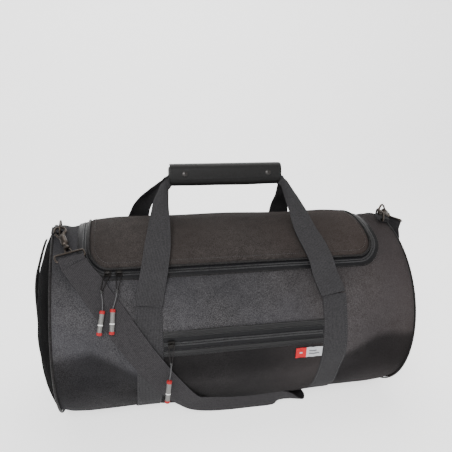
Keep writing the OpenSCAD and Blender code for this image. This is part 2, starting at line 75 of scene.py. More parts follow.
# placed so that the barrel's outline, the lid and the grip fall where the photograph has them
camera = bpy.data.objects.new("camera", bpy.data.cameras.new("camera"))
bpy.context.collection.objects.link(camera)
camera.location = (-0.1808, -0.8698, 0.472)
camera.rotation_euler = (math.radians(90 - 11.57), 0, math.radians(-11.85))
camera.data.lens = 42.86
camera.data.sensor_width = 36
camera.data.clip_start = 0.05
bpy.context.scene.camera = camera


# ---------------- materials

class Shader:
    """A material's node tree, with short ways to add the nodes used here."""

    def __init__(self, name, rough, metallic=0.0, specular=0.4):
        self.material = bpy.data.materials.new(name)
        self.material.use_nodes = True
        self.tree = self.material.node_tree
        self.out = self.tree.nodes["Principled BSDF"]
        for socket, value in (("Roughness", rough), ("Metallic", metallic), ("Specular IOR Level", specular)):
            self.out.inputs[socket].default_value = value

    def add(self, kind):
        return self.tree.nodes.new(kind)

    def put(self, socket, value):
        if isinstance(value, bpy.types.NodeSocket):
            self.tree.links.new(value, socket)
        else:
            socket.default_value = value

    def math(self, operation, a, b=0.0):
        node = self.add("ShaderNodeMath")
        node.operation = operation
        self.put(node.inputs[0], a)
        self.put(node.inputs[1], b)
        return node.outputs[0]

    def times(self, a, b):
        return self.math("MULTIPLY", a, b)

    def plus(self, a, b):
        return self.math("ADD", a, b)

    def wave(self, along, pitch):
        return self.math("SINE", self.times(along, math.pi / pitch))

    def ridges(self, along, pitch):
        """Rounded ridges of one pitch across a coordinate: 0 in the groove, 1 on top."""
        return self.math("ABSOLUTE", self.wave(along, pitch))

    def mix(self, a, b, factor):
        node = self.add("ShaderNodeMix")
        node.data_type = "RGBA"
        self.put(node.inputs["Factor"], factor)
        self.put(node.inputs[6], (*a, 1) if isinstance(a, tuple) else a)
        self.put(node.inputs[7], (*b, 1) if isinstance(b, tuple) else b)
        return node.outputs[2]

    def noise(self, scale, detail=3.0):
        node = self.add("ShaderNodeTexNoise")
        node.inputs["Scale"].default_value = scale
        node.inputs["Detail"].default_value = detail
        self.put(node.inputs["Vector"], self.place())
        return node.outputs["Fac"]

    def place(self):
        """The object's own coordinates, in metres."""
        if not hasattr(self, "coords"):
            self.coords = self.add("ShaderNodeTexCoord").outputs["Object"]
        return self.coords

    def uv(self):
        """The two directions of the weave, in metres."""
        if not hasattr(self, "uvs"):
            split = self.add("ShaderNodeSeparateXYZ")
            self.put(split.inputs[0], self.add("ShaderNodeTexCoord").outputs["UV"])
            self.uvs = split.outputs[0], split.outputs[1]
        return self.uvs

    def ramp(self, value, low, high):
        """0 at low, 1 at high."""
        node = self.add("ShaderNodeMapRange")
        self.put(node.inputs[0], value)
        node.inputs[1].default_value = low
        node.inputs[2].default_value = high
        return node.outputs[0]

    def painted_light_and_tone(self):
        """The painted light and shade stored on the mesh, with some random tone: 1 where the cloth is painted palest.
        """
        node = self.add("ShaderNodeAttribute")
        node.attribute_name = "painted_light_and_tone"
        return node.outputs["Fac"]

    def color(self, value):
        self.put(self.out.inputs["Base Color"], value)

    def rough(self, value):
        self.put(self.out.inputs["Roughness"], value)

    def bump(self, height, depth, strength=1.0):
        node = self.add("ShaderNodeBump")
        node.inputs["Distance"].default_value = depth
        node.inputs["Strength"].default_value = strength
        self.put(node.inputs["Height"], height)
        self.put(self.out.inputs["Normal"], node.outputs[0])


def oxford(name, dark, light, cool, specular=0.06):
    """Basket weave in coarse polyester: dark gaps, paler threads, and the painted light and shade read from the mesh:
    paler where the cloth faces the light, near black in the painted shade.
    """
    pitch = 0.0013
    brown = (0.038, 0.026, 0.022)  # the cast on the right of the bag, where the light is warmer
    s = Shader(name, rough=0.9, specular=specular)
    u, v = s.uv()
    warp, weft = s.ridges(u, pitch), s.ridges(v, pitch)
    flip = s.math("GREATER_THAN", s.times(s.wave(u, pitch), s.wave(v, pitch)), 0.0)
    thread = s.plus(s.times(warp, flip), s.times(weft, s.math("SUBTRACT", 1.0, flip)))
    fleck = s.ramp(s.noise(880, 1), 0.36, 0.64)
    blotch = s.ramp(s.noise(60, 4), 0.30, 0.70)
    broad = s.ramp(s.noise(7, 2), 0.38, 0.62)
    mixed = s.plus(s.plus(s.times(thread, 0.24), s.times(fleck, 0.60)), s.times(blotch, 0.16))
    tone = s.mix(dark, light, mixed)
    tone = s.mix(tone, s.mix(tone, cool, 0.5), broad)
    split = s.add("ShaderNodeSeparateXYZ")
    s.put(split.inputs[0], s.place())
    tone = s.mix(tone, s.mix(tone, brown, 0.45), s.ramp(split.outputs[0], 0.02, 0.26))
    # painted shade: the weave is mixed towards this near black where the mesh's painted tone is low
    black = tuple(c * 0.2 for c in dark)
    s.color(s.mix(s.mix(black, tone, 0.16), tone, s.painted_light_and_tone()))
    s.bump(s.plus(thread, s.times(fleck, 0.8)), 0.0005, 0.8)
    return s.material


def webbing(name, dark, light):
    """Ribbed webbing: ribs along its length, each crossed by slanting picks."""
    pitch, pick_pitch = 0.0021, 0.0016
    s = Shader(name, rough=0.85, specular=0.08)
    u, v = s.uv()
    slant = s.plus(v, s.times(s.math("PINGPONG", u, pitch), 0.9))
    height = s.plus(s.times(s.ridges(u, pitch), 0.7), s.times(s.ridges(slant, pick_pitch), 0.5))
    fleck = s.ramp(s.noise(600, 1), 0.35, 0.65)
    s.color(s.mix(dark, light, s.ramp(s.plus(height, s.times(fleck, 0.5)), 0.1, 1.6)))
    s.bump(height, 0.0004, 0.8)
    return s.material


def grained(name, dark, light, scale, rough, depth=0.0002, specular=0.5):
    """One tone broken up by a noise grain."""
    s = Shader(name, rough, specular=specular)
    grain = s.noise(scale, 4)
    s.color(s.mix(dark, light, s.ramp(grain, 0.35, 0.7)))
    s.rough(s.ramp(s.noise(scale * 0.23, 2), rough * -4, rough * 6))
    s.bump(grain, depth, 0.6)
    return s.material


def ribbed(name, dark, light, pitch, rough):
    """A coated or woven strip with fine ribs along its length."""
    s = Shader(name, rough, specular=0.25)
    rib = s.ridges(s.uv()[1], pitch)
    s.color(s.mix(dark, light, s.ramp(s.plus(rib, s.times(s.noise(300), 0.4)), 0.2, 1.3)))
    s.bump(rib, 0.0003, 0.7)
    return s.material


def smooth_metal(name, tone, rough):
    """Plated metal with fine wear."""
    s = Shader(name, rough, metallic=1.0)
    wear = s.noise(900, 3)
    s.color(s.mix(tuple(c * 0.75 for c in tone), tone, s.ramp(wear, 0.3, 0.7)))
    s.rough(s.ramp(wear, -1.2 + rough, 2.2 + rough))
    s.bump(wear, 0.00004, 0.5)
    return s.material


FABRIC = oxford("barrel_oxford", (0.004, 0.0038, 0.0040), (0.088, 0.085, 0.089), (0.042, 0.042, 0.048))
# the lid's and the pocket's cloth are copies of the barrel's cloth with painted light: darker for the shade on them,
# the lid's browner for the warm sheen on the top
LID_FABRIC = oxford("lid_oxford", (0.005, 0.0045, 0.0044), (0.068, 0.059, 0.056), (0.036, 0.030, 0.028))
POCKET_FABRIC = oxford("pocket_oxford", (0.008, 0.0078, 0.0083), (0.052, 0.048, 0.049), (0.024, 0.022, 0.023))
# the end panels' cloth: a near-black copy of the barrel's cloth, painted shade for the ends that stand in shadow
END_FABRIC_SHADED = oxford("end_oxford_shaded", (0.0010, 0.0010, 0.0011), (0.0050, 0.0048, 0.005), (0.003, 0.003, 0.0035), 0.02)
WEBBING = webbing("band_webbing", (0.005, 0.005, 0.0053), (0.036, 0.035, 0.037))
STRAP_WEB = webbing("strap_webbing", (0.0045, 0.0045, 0.005), (0.036, 0.034, 0.036))
PIPING = grained("piping_fabric", (0.006, 0.0058, 0.006), (0.022, 0.021, 0.021), 420, 0.9, 0.0003, 0.05)
TAPE = grained("zip_tape", (0.0025, 0.0025, 0.003), (0.009, 0.009, 0.010), 900, 0.85, 0.0002, specular=0.12)
COIL = grained("zip_coil", (0.006, 0.006, 0.0065), (0.030, 0.030, 0.032), 600, 0.35)
WELT = ribbed("coated_welt", (0.0018, 0.0018, 0.002), (0.008, 0.008, 0.0085), 0.0011, 0.3)
LINING = grained("lining_fabric", (0.035, 0.036, 0.040), (0.06, 0.061, 0.066), 700, 0.65)
BOARD = grained("base_board_plastic", (0.02, 0.02, 0.02), (0.04, 0.04, 0.04), 260, 0.6)
LEATHER = grained("grip_leatherette", (0.0012, 0.0012, 0.0012), (0.0055, 0.0052, 0.0052), 950, 0.34, 0.0003, 0.2)
THREAD = grained("stitch_thread", (0.018, 0.018, 0.019), (0.05, 0.05, 0.052), 1500, 0.6)
PLASTIC = grained("adjuster_plastic", (0.010, 0.010, 0.010), (0.022, 0.022, 0.022), 500, 0.45)
GUNMETAL = smooth_metal("slider_gunmetal", (0.020, 0.019, 0.018), 0.33)
SNAP = smooth_metal("snap_black_nickel", (0.045, 0.043, 0.042), 0.32)
NICKEL = smooth_metal("dark_nickel", (0.055, 0.046, 0.040), 0.25)
WIRE = smooth_metal("tab_nickel", (0.030, 0.028, 0.028), 0.28)
CORD = grained("pull_cord_braid", (0.012, 0.012, 0.013), (0.055, 0.055, 0.058), 1400, 0.7)
KNOT = grained("knot_black", (0.004, 0.004, 0.004), (0.012, 0.012, 0.012), 900, 0.6)
PULL_GREY = grained("pull_grip_grey", (0.075, 0.073, 0.070), (0.13, 0.127, 0.122), 1100, 0.5)
PULL_RED = grained("pull_cap_red", (0.20, 0.010, 0.012), (0.32, 0.024, 0.024), 800, 0.55, specular=0.1)
PULL_WHITE = grained("pull_band_white", (0.52, 0.52, 0.51), (0.62, 0.62, 0.61), 800, 0.45)
LABEL_RED = ribbed("label_red", (0.30, 0.003, 0.006), (0.42, 0.008, 0.012), 0.0007, 0.75)
LABEL_GREY = ribbed("label_grey", (0.26, 0.265, 0.28), (0.40, 0.405, 0.42), 0.0007, 0.6)
LABEL_DARK = ribbed("label_dark", (0.07, 0.07, 0.08), (0.13, 0.13, 0.14), 0.0007, 0.6)

# ---------------- mesh building


def add_mesh(name, verts, faces, mats, body, uv=None, face_mat=None, sharp=35, tone=None):
    """A new object that rides on a body; tone, from 0 to 1 at each vertex, holds painted light and shade with some
    random tone, and is read by the weave's material.
    """
    mesh = bpy.data.meshes.new(name)
    mesh.from_pydata([tuple(v) for v in verts], [], [tuple(f) for f in faces])
    if tone is not None:
        # painted light and shade, with some random tone, for the weave's material
        layer = mesh.attributes.new("painted_light_and_tone", "FLOAT", "POINT")
        layer.data.foreach_set("value", np.clip(np.asarray(tone, np.float32), 0, 1))
    if uv is not None:
        layer = mesh.uv_layers.new(name="UVMap")
        index = np.empty(len(mesh.loops), np.int32)
        mesh.loops.foreach_get("vertex_index", index)
        layer.data.foreach_set("uv", np.asarray(uv, np.float32)[index].ravel())
    for m in mats if isinstance(mats, (list, tuple)) else [mats]:
        mesh.materials.append(m)
    if face_mat is not None:
        mesh.polygons.foreach_set("material_index", np.asarray(face_mat, np.int32))
    mesh.shade_smooth()
    mesh.set_sharp_from_angle(angle=math.radians(sharp))
    obj = bpy.data.objects.new(name, mesh)
    bpy.context.collection.objects.link(obj)
    if body:
        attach(obj, body)
    return obj


def dress(part, slot, *nodes):
    """Hide the CAD nodes that a piece stands for; slot, the piece's kind of material, is not used."""
    if nodes:
        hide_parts(*nodes)
    return part


def lattice(x0, x1, nx, y0, y1, ny):
    """Two evenly spaced directions as a grid, the first along its rows."""
    return np.meshgrid(np.linspace(x0, x1, nx), np.linspace(y0, y1, ny), indexing="ij")


def unit(v):
    return v / np.linalg.norm(v, axis=-1, keepdims=True)


def lengths(points):
    """Running length along a row of points."""
    return np.concatenate([[0], np.cumsum(np.linalg.norm(np.diff(points, axis=0), axis=1))])


def grid_normals(g):
    """The way out of a sheet at each of its points."""
    n = np.cross(np.gradient(g, axis=0), np.gradient(g, axis=1))
    return n / np.maximum(np.linalg.norm(n, axis=2, keepdims=True), 1e-12)


def cloth(name, grid, thick, mats, body, u, v, keep=None, outward=1, face_mat=None, tone=None):
    """A sheet of one thickness: grid is its outer face, u and v its weave, and keep says which cells exist."""
    n, m = grid.shape[:2]
    uv = np.stack(np.broadcast_arrays(u[:, None] if u.ndim == 1 else u, v[None, :] if v.ndim == 1 else v), -1)
    uv = uv.reshape(-1, 2)
    inner = (grid - outward * grid_normals(grid) * thick).reshape(-1, 3)
    verts = np.concatenate([grid.reshape(-1, 3), inner])
    total = n * m
    quads, marks = [], []
    for i in range(n - 1):
        for j in range(m - 1):
            if keep is None or keep[i, j]:
                q = (i * m + j, (i + 1) * m + j, (i + 1) * m + j + 1, i * m + j + 1)
                quads.append(q if outward > 0 else q[::-1])
                marks.append(0 if face_mat is None else face_mat[i][j])
    count = {}
    for k, q in enumerate(quads):
        for a, b in zip(q, q[1:] + q[:1]):
            if (b, a) in count:
                count.pop((b, a))
            else:
                count[(a, b)] = k
    faces = quads + [tuple(x + total for x in q[::-1]) for q in quads]
    faces += [(b, a, a + total, b + total) for a, b in count]
    marks = marks + marks + [marks[k] for k in count.values()]
    used = sorted({x for f in faces for x in f})
    back = {x: i for i, x in enumerate(used)}
    verts = verts[used]
    uv = np.concatenate([uv, uv])[used]
    if tone is not None:
        tone = np.tile(np.asarray(tone).ravel(), 2)[used]
    faces = [tuple(back[x] for x in f) for f in faces]
    return add_mesh(name, verts, faces, mats, body, uv, marks, tone=tone)


def ring_faces(count, sides, closed=False):
    """Faces of a row of vertex rings, with both ends shut unless the row itself closes."""
    faces = []
    for k in range(count if closed else count - 1):
        a, b = k * sides, (k + 1) % count * sides
        faces += [(a + s, a + (s + 1) % sides, b + (s + 1) % sides, b + s) for s in range(sides)]
    if not closed:
        faces += [tuple(range(sides))[::-1], tuple(range((count - 1) * sides, count * sides))]
    return faces


def tube(name, path, radius, mats, body, sides=12, closed=False, sharp=50):
    """A round tube along points; radius may vary along it."""
    path = np.asarray(path, float)
    n = len(path)
    radius = np.broadcast_to(radius, n)
    way = unit(np.roll(path, -1, 0) - np.roll(path, 1, 0) if closed else np.gradient(path, axis=0))
    side = np.cross(way[0], (0.3, 0.2, 0.9))
    run = lengths(path)
    turn = 2 * math.pi * np.arange(sides) / sides
    verts, uv = [], []
    for k in range(n):
        side = unit(side - way[k] * (side @ way[k]))
        up = np.cross(way[k], side)
        verts += list(path[k] + radius[k] * (np.outer(np.cos(turn), side) + np.outer(np.sin(turn), up)))
        uv += [(a * radius[k], run[k]) for a in turn]
    return add_mesh(name, verts, ring_faces(n, sides, closed), mats, body, uv, None, sharp)


def lathe(name, a, b, rings, mats, body, sides=20):
    """A turned piece from a to b: rings are (share of the way, radius, material)."""
    way = unit(b - a)
    side = unit(np.cross(way, (1, 0.1, 0)))
    up = np.cross(way, side)
    turn = 2 * math.pi * np.arange(sides) / sides
    verts, marks = [], []
    for share, r, mark in rings:
        verts += list(a + (b - a) * share + r * (np.outer(np.cos(turn), side) + np.outer(np.sin(turn), up)))
        marks += [mark] * sides
    marks = marks[:-sides] + [rings[0][2], rings[-1][2]]
    return add_mesh(name, verts, ring_faces(len(rings), sides), mats, body, None, marks, 40)


def curve_through(points, step):
    """Points spaced about one step apart on a smooth line through the given points."""
    p = np.asarray(points, float)
    p = np.vstack([2 * p[0] - p[1], p, 2 * p[-1] - p[-2]])
    out = []
    for i in range(1, len(p) - 2):
        a, b, c, d = p[i - 1:i + 3]
        n = max(1, round(float(np.linalg.norm(c - b)) / step))
        for k in range(n):
            t = k / n
            out.append(0.5 * (2 * b + (c - a) * t + (2 * a - 5 * b + 4 * c - d) * t * t
                + (3 * b - a - 3 * c + d) * t ** 3))
    out.append(p[-2])
    return np.array(out)


def bump_of(distance, width):
    """A rounded bump: 1 in the middle, fading over the width."""
    return np.exp(-(distance / width) ** 2)


def smooth(t):
    """0 up to 0, 1 from 1 on, and eased between them."""
    t = np.clip(t, 0, 1)
    return t * t * (3 - 2 * t)


# each wave: how fast it turns along the barrel and round it, where it starts, how strong it is
waves = [(rng.uniform(8, 30) * rng.choice((-1, 1)), rng.uniform(0.02, 0.075), rng.uniform(0, 6.28),
    rng.uniform(0.3, 1)) for _ in range(9)]


def ripple(x, t):
    """Slow, uneven swelling, about -1 to 1."""
    total = sum(w[3] for w in waves)
    return sum(a * np.sin(kx * x + kt * t + ph) for kx, kt, ph, a in waves) / total * 1.6


def crease(x):
    """The angle of the fold along the front, between the upright part and the slack part under it."""
    return np.interp(x,
        [-0.272, -0.247, -0.22, -0.193, -0.163, -0.12, 0.0, 0.1, 0.16, 0.177, 0.206, 0.232, 0.272],
        [-3, -1.5, 0, -6, -15, -21, -22, -20, -14.5, -11, -4, -2.5, -5])


def fold(x, t):
    """The fold's relief: deep at both ends, shallow behind the pocket."""
    depth = np.interp(x, [-0.27, -0.2, -0.155, -0.12, 0.12, 0.155, 0.27], [0.6, 1, 0.9, 0.25, 0.25, 0.9, 0.8])
    d = t - crease(x)
    ridge = np.where(d > 0, bump_of(d, 17), bump_of(d, 4.5))
    return depth * (0.0024 * ridge - 0.0042 * bump_of(d + 15, 9))


def swell(x, t):
    """How far the padded cloth stands out from a true cylinder, at a length x and an angle t in degrees."""
    ax = np.abs(x)
    held = smooth((0.2725 - ax) / 0.022)  # the rims hold the cloth round
    top = bump_of(t - 90, 48) + bump_of(t + 270, 48)
    dip = -0.0052 * bump_of(ax - 0.249, 0.015) * top
    sway = np.sin(62 * x + 3 * np.sin(t / 23)) * np.sin(t / 17 + 1) * bump_of(t - 22, 30)
    slack = 0.0019 * ripple(x, t) + 0.0009 * sway
    pinch = -0.0010 * bump_of(ax - BAND_X, 0.030)
    dent = -0.0034 * bump_of(x - 0.180, 0.007) * bump_of(t + 17, 3.0)
    dent -= 0.0022 * bump_of(x - 0.196, 0.006) * bump_of(t + 11, 3.0)
    roll = -0.0030 * smooth((ax - 0.254) / 0.019)
    roll -= 0.0028 * smooth((ax - 0.225) / 0.046) * bump_of(t + 62, 30)
    return (dip + slack + pinch + fold(x, t) + dent) * held + roll


def shade(x, t):
    """The painted light and shade on the barrel's cloth, from 0 to 1: a painted highlight above the fold, painted
    shade under it and on the top, and random patches of tone.
    """
    d = t - crease(x)
    # painted shade under the fold, easing off towards the bottom
    under = smooth((3 - d) / 7) * np.interp(d, [-66, -46, -24, 0], [0.30, 0.48, 0.92, 1])
    spots = 0.14 * ripple(x * 1.7, t * 1.3)
    return 0.68 + 0.28 * bump_of(d - 18, 22) - 0.60 * under - 0.20 * bump_of(t - 90, 40) + spots


def around(x, t, r, base=-1.0):
    """Points at a length x, an angle t in degrees up from the front and a distance r from the axis."""
    a = np.radians(t)
    parts = np.broadcast_arrays(np.asarray(x, float), -r * np.cos(a), np.maximum(AXIS_Z + r * np.sin(a), base))
    return np.stack(parts, -1)


def skin(x, t, off=0.0, base=0.002):
    """Points at a height off above the barrel's cloth, never lower than base."""
    x, t = np.broadcast_arrays(np.asarray(x, float), np.asarray(t, float))
    return around(x, t, R + swell(x, t) + off, base)


def angle_of(y):
    """The angle on the top half of the barrel at a depth y."""
    return np.degrees(np.arccos(np.clip(-np.asarray(y, float) / R, -1, 1)))


# ---------------- barrel


def corner_of(o):
    """Centre and radius of the front corner's arc on the line o outside the lid's edge."""
    return LID_HALF - LID_CORNER + o * (1 - CORNER_K), LID_CORNER - LID_FRONT + o * (CORNER_K - EDGE_K), \
        LID_CORNER + o * CORNER_K


def lid_offset(x, y):
    """How far outside the lid's edge a point lies, seen from above and measured along the fabric."""
    low, high = np.full(np.shape(x), -0.09), np.full(np.shape(x), 0.09)
    ax = np.abs(x)
    for _ in range(30):
        o = (low + high) / 2
        cx, cy, r = corner_of(o)
        dx, dy = ax - cx, cy - y
        outside = np.where((dx > 0) & (dy > 0), np.hypot(dx, dy) - r, np.maximum(dx - r, dy - r))
        low, high = np.where(outside > 0, o, low), np.where(outside > 0, high, o)
    return (low + high) / 2


def lid_edge(o, rear=ZIP_END, side_n=46, arc_n=14, front_n=110):
    """The plan points of the line o outside the lid's edge: left rear, left corner, front, right."""
    cx, cy, r = corner_of(o)
    ys = np.linspace(rear, cy, side_n, endpoint=False)
    arc = np.radians(np.linspace(0, 90, arc_n, endpoint=False))
    left = [(-cx - r, y) for y in ys] + [(-cx - r * math.cos(a), cy - r * math.sin(a)) for a in arc]
    front = [(x, cy - r) for x in np.linspace(-cx, cx, front_n)]
    return np.array(left + front + [(-x, y) for x, y in left[::-1]])


def on_lid(plan, off):
    """Plan points laid on the barrel at a height above its fabric."""
    return skin(plan[:, 0], angle_of(plan[:, 1]), off)


def edge_cloth(name, offsets, heights, thick, mat, body):
    """A strip beside the lid's edge, between two of its offset lines."""
    grid = np.array([on_lid(lid_edge(o), h) for o, h in zip(offsets, heights)])
    v = lengths(grid[len(offsets) // 2])
    return cloth(name, grid, thick, mat, body, np.array(offsets), v, outward=-1)


def make_shell(name, node, mat, slot, reach, off, thick):
    """The barrel's cloth, or its lining, with the opening cut along a line that follows the lid's edge."""
    hole = 0.012  # the opening's edge outside the lid's edge
    e = 1e-4
    xs = np.unique(np.concatenate([np.linspace(-reach, reach, 190), [-0.236, 0.236]]))
    gx, gt = np.meshgrid(xs, np.linspace(-223, 137, 331), indexing="ij")
    y = -R * np.cos(np.radians(gt))
    upper = (gt > 0) & (gt < 136.2)
    o = np.where(upper, lid_offset(gx, y), 1.0)
    for _ in range(3):  # points near the line are moved onto it, along its slope
        near = upper & (np.abs(o - hole) < 0.0028)
        ox = (lid_offset(gx + e, y) - lid_offset(gx - e, y)) / (2 * e)
        oy = (lid_offset(gx, y + e) - lid_offset(gx, y - e)) / (2 * e)
        ot = oy * np.sin(np.radians(gt))
        step = np.where(near, (o - hole) / np.maximum(ox ** 2 + ot ** 2, 1e-9), 0)
        gx = gx - step * ox
        gt = gt - np.degrees(step * ot / R)
        y = -R * np.cos(np.radians(gt))
        o = np.where(upper, lid_offset(gx, y), 1.0)
    inside = o < hole - 0.0004
    cell = ~(inside[:-1, :-1] | inside[1:, :-1] | inside[:-1, 1:] | inside[1:, 1:])
    grid = skin(gx, gt, off, 0.002 - off)
    part = cloth(name, grid, thick, mat, "bag", gx, R * np.radians(gt), keep=cell, tone=shade(gx, gt))
    return dress(part, slot, node)


barrel = make_shell("barrel_fabric", "barrel_panel", FABRIC, "woven_fabric", SHELL_X, 0.0, 0.0018)
make_shell("lining_cloth", "barrel_lining", LINING, "lining", SHELL_X - 0.0022, -0.0030, 0.0010)


def make_end(side, name):
    """One end panel, crowned from its rim, and the piping sewn round the rim."""
    rim = R - 0.0042
    crown = 0.0278
    rho = np.concatenate([np.linspace(0.0005, 0.13, 30), np.linspace(0.134, rim, 8)])
    gr, deg = np.meshgrid(rho, np.linspace(0, 360, 145), indexing="ij")
    gp = np.radians(deg)
    wrinkle = 0.0011 * np.sin(7 * gp + 2.1 + 9 * gr) * np.sin(4 * gp + 1.0) * smooth((rim - gr) / 0.03)
    slack = 0.0016 * np.sin(2 * gp + 0.8) * smooth((rim - gr) / 0.05)
    out = RIM_X + 0.0012 + crown * (1 - (gr / rim) ** 3.2) + (wrinkle + slack) * smooth(gr / 0.05)
    reach = gr * (1 + np.minimum(swell(0 * gp + side * RIM_X, deg) + 0.0030, 0) / R)
    # painted light and shade on the end: paler towards the top, darker towards the bottom
    part = cloth(f"end_fabric_{name}", around(side * out, deg, reach, 0.0021), 0.0022, END_FABRIC_SHADED, "bag",
        gr * np.cos(gp), gr * np.sin(gp), outward=-side, tone=0.6 + 0.3 * np.sin(gp) + 0 * gr)
    dress(part, "woven_fabric", f"end_panel_{name}")
    turn = np.linspace(0, 360, 160, endpoint=False)
    x = side * RIM_X + 0.0006 * np.sin(3 * np.radians(turn) + side)
    ring = around(x, turn, R + 0.0004 + swell(0 * turn + side * RIM_X, turn), 0.0026)
    piping = tube(f"rim_piping_{name}", ring, 0.0018 if side < 0 else 0.0014, PIPING, "bag", closed=True)
    dress(piping, "piping", *(["end_pipings"] if side < 0 else []))


for side, name in SIDES:
    make_end(side, name)

# ---------------- lid and its zip


def make_lid():
    """The padded lid, its piped edge and the strip of cloth that hinges it."""
    edge_top = 0.0022
    x, gy = lattice(-LID_HALF, LID_HALF, 141, 0, 1, 71)
    # squares mapped on the rounded outline: the front corners follow the arc, the rear stays straight
    past = np.maximum(np.abs(x) - LID_HALF + LID_CORNER, 0)
    front = -LID_FRONT + LID_CORNER - np.sqrt(np.maximum(LID_CORNER ** 2 - past ** 2, 0))
    y = front + gy * (LID_FRONT - 0.0003 - front)
    inset = np.clip(-lid_offset(x, y), 0, None)
    rear = LID_FRONT - y
    t = angle_of(y)
    puff = 0.0024 * smooth(inset / 0.045) + 0.0014 * ripple(x * 1.4 + 0.3, t * 1.2)
    dents = -0.0022 * bump_of(x + 0.115, 0.03) * bump_of(t - 66, 9)  # where the handle's legs press
    dents -= 0.0020 * bump_of(x - 0.120, 0.03) * bump_of(t - 64, 9)
    off = edge_top + (LID_TOP - edge_top) * smooth(inset / 0.006) ** 0.5 + (puff + dents) * smooth(inset / 0.02)
    off = off * (0.35 + 0.65 * smooth(rear / 0.02))
    part = cloth("lid_fabric", around(x, t, R + off), 0.0042, LID_FABRIC, "lid", x, R * np.radians(t),
        tone=0.72 + 0.16 * ripple(x * 2, t) - 0.2 * bump_of(rear, 0.03))
    dress(part, "woven_fabric", "lid_panel")
    plan = lid_edge(0.0014, rear=LID_FRONT - 0.003)
    piping = tube("lid_piping_cord", around(plan[:, 0], angle_of(plan[:, 1]), R + 0.0040), 0.0017, PIPING, "lid", 10)
    dress(piping, "piping", "lid_piping")
    gx, gt = lattice(-LID_HALF + 0.001, LID_HALF - 0.001, 60, 133.5, 139, 9)
    strip = cloth("lid_hinge_strip", skin(gx, gt, 0.0021 + 0.0009 * bump_of(gt - 136, 2)), 0.0008, LID_FABRIC, None,
        gx, R * np.radians(gt), tone=0.6 + 0 * gx)
    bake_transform(strip)


make_lid()


def teeth(name, path, across, size, body):
    """One row of a coil: a small rounded loop at each pitch along a path, lying across it."""
    run = lengths(path)
    turn = math.pi * np.arange(6) / 3
    verts, faces = [], []
    for k in range(int(run[-1] / TOOTH_PITCH)):
        s = (k + 0.5) * TOOTH_PITCH
        i = min(int(np.searchsorted(run, s)), len(path) - 1)
        f = (s - run[i - 1]) / max(run[i] - run[i - 1], 1e-9)
        c = path[i - 1] + (path[i] - path[i - 1]) * f
        w = unit(across[i - 1] + (across[i] - across[i - 1]) * f)
        t = unit(path[i] - path[i - 1])
        loop = np.outer(np.cos(turn), t * size[1]) + np.outer(np.sin(turn), np.cross(t, w) * size[2])
        faces += [tuple(len(verts) + v for v in face) for face in ring_faces(4, 6)]
        for a, g in ((-1, 0.55), (-0.6, 1), (0.6, 1), (1, 0.55)):
            verts += list(c + w * a * size[0] + loop * g)
    return add_mesh(name, verts, faces, COIL, body, None, None, 60)


def make_zip():
    """The lid's zip: a tape and a row of teeth on the bag, and the same on the lid."""
    crown = [0.0004, 0.0006, 0.0008, 0.0009, 0.0009, 0.0008, 0.0006]
    for name, offsets, heights, body, node in (("outer", (0.0083, 0.0168), crown, "bag", "zip_tape_body"),
            ("inner", (-0.004, 0.0079), [0.0004] * 9, "lid", "zip_tape_lid")):
        part = edge_cloth(f"zip_tape_{name}", np.linspace(*offsets, len(heights)), heights, 0.0006, TAPE, body)
        dress(part, "tape", node)
    seam = tube("zip_seam_cord", on_lid(lid_edge(0.0166), 0.0009), 0.0010, PIPING, "bag", 8)
    for name, o, body, node in (("outer", ZIP_LINE + 0.0018, "bag", "zip_coil_body"),
            ("inner", ZIP_LINE - 0.0018, "lid", "zip_coil_lid")):
        path = on_lid(lid_edge(o), 0.0012)
        across = on_lid(lid_edge(o + 0.002), 0.0012) - on_lid(lid_edge(o - 0.002), 0.0012)
        dress(teeth(f"zip_teeth_{name}", path, across, (0.0015, 0.00062, 0.0009), body), "coil", node)


make_zip()

# ---------------- webbing bands, pocket and label


def barrel_patch(name, x0, x1, t0, t1, off, thick, mat, nx, nt, base=0.002, shape=None, tone=shade):
    """Cloth on the barrel between two lengths and two angles; shape adds height from (across, along) in 0..1."""
    gx, gt = lattice(x0, x1, nx, t0, t1, nt)
    height = off + (0 if shape is None else shape((gx - x0) / (x1 - x0), (gt - t0) / (t1 - t0)))
    return cloth(name, skin(gx, gt, height, base), thick, mat, "bag", gx, R * np.radians(gt), tone=tone(gx, gt))


def band_edges(a, b):
    """The band's edges bend down a little."""
    return -0.0006 * np.abs(2 * a - 1) ** 4


for side, name in SIDES:
    band = barrel_patch(f"band_{name}", side * BAND_X - WEB / 2, side * BAND_X + WEB / 2, -202, 22, 0.0019, 0.0017,
        WEBBING, 9, 220, base=0.0002, shape=band_edges)
    dress(band, "webbing", f"webbing_band_{name}")


def pocket_puff(a, b):
    """The pocket's cloth stands out between its seams."""
    across, along = np.sin(math.pi * np.clip(a, 0, 1)), np.sin(math.pi * b)
    return 0.0042 * along ** 0.7 * across ** 0.4 + 0.0009 * np.sin(9 * a + 2) * along * across


def pocket_light_and_shade(x, t):
    """Painted light and shade on the pocket: dark on the left, painted paler towards the right, painted shade under
    its welt with a painted sheen below it, painted shade towards the bottom, and random patches.
    """
    right = 0.46 * smooth((x + 0.02) / 0.13)
    # a painted highlight band, and painted shade just under the welt
    painted_sheen_and_shade = 0.16 * bump_of(t + 26, 5) - 0.10 * bump_of(t + 14, 5)
    return 0.24 + right + painted_sheen_and_shade - 0.20 * smooth((-34 - t) / 12) + 0.10 * ripple(x * 1.7, t * 1.3)


def welt_profile(a, b):
    """A rounded bead along each side of the welt and a low one between them."""
    return 0.0011 * (bump_of(b - 0.10, 0.10) + bump_of(b - 0.90, 0.10)) + 0.0005 * bump_of(b - 0.5, 0.2)


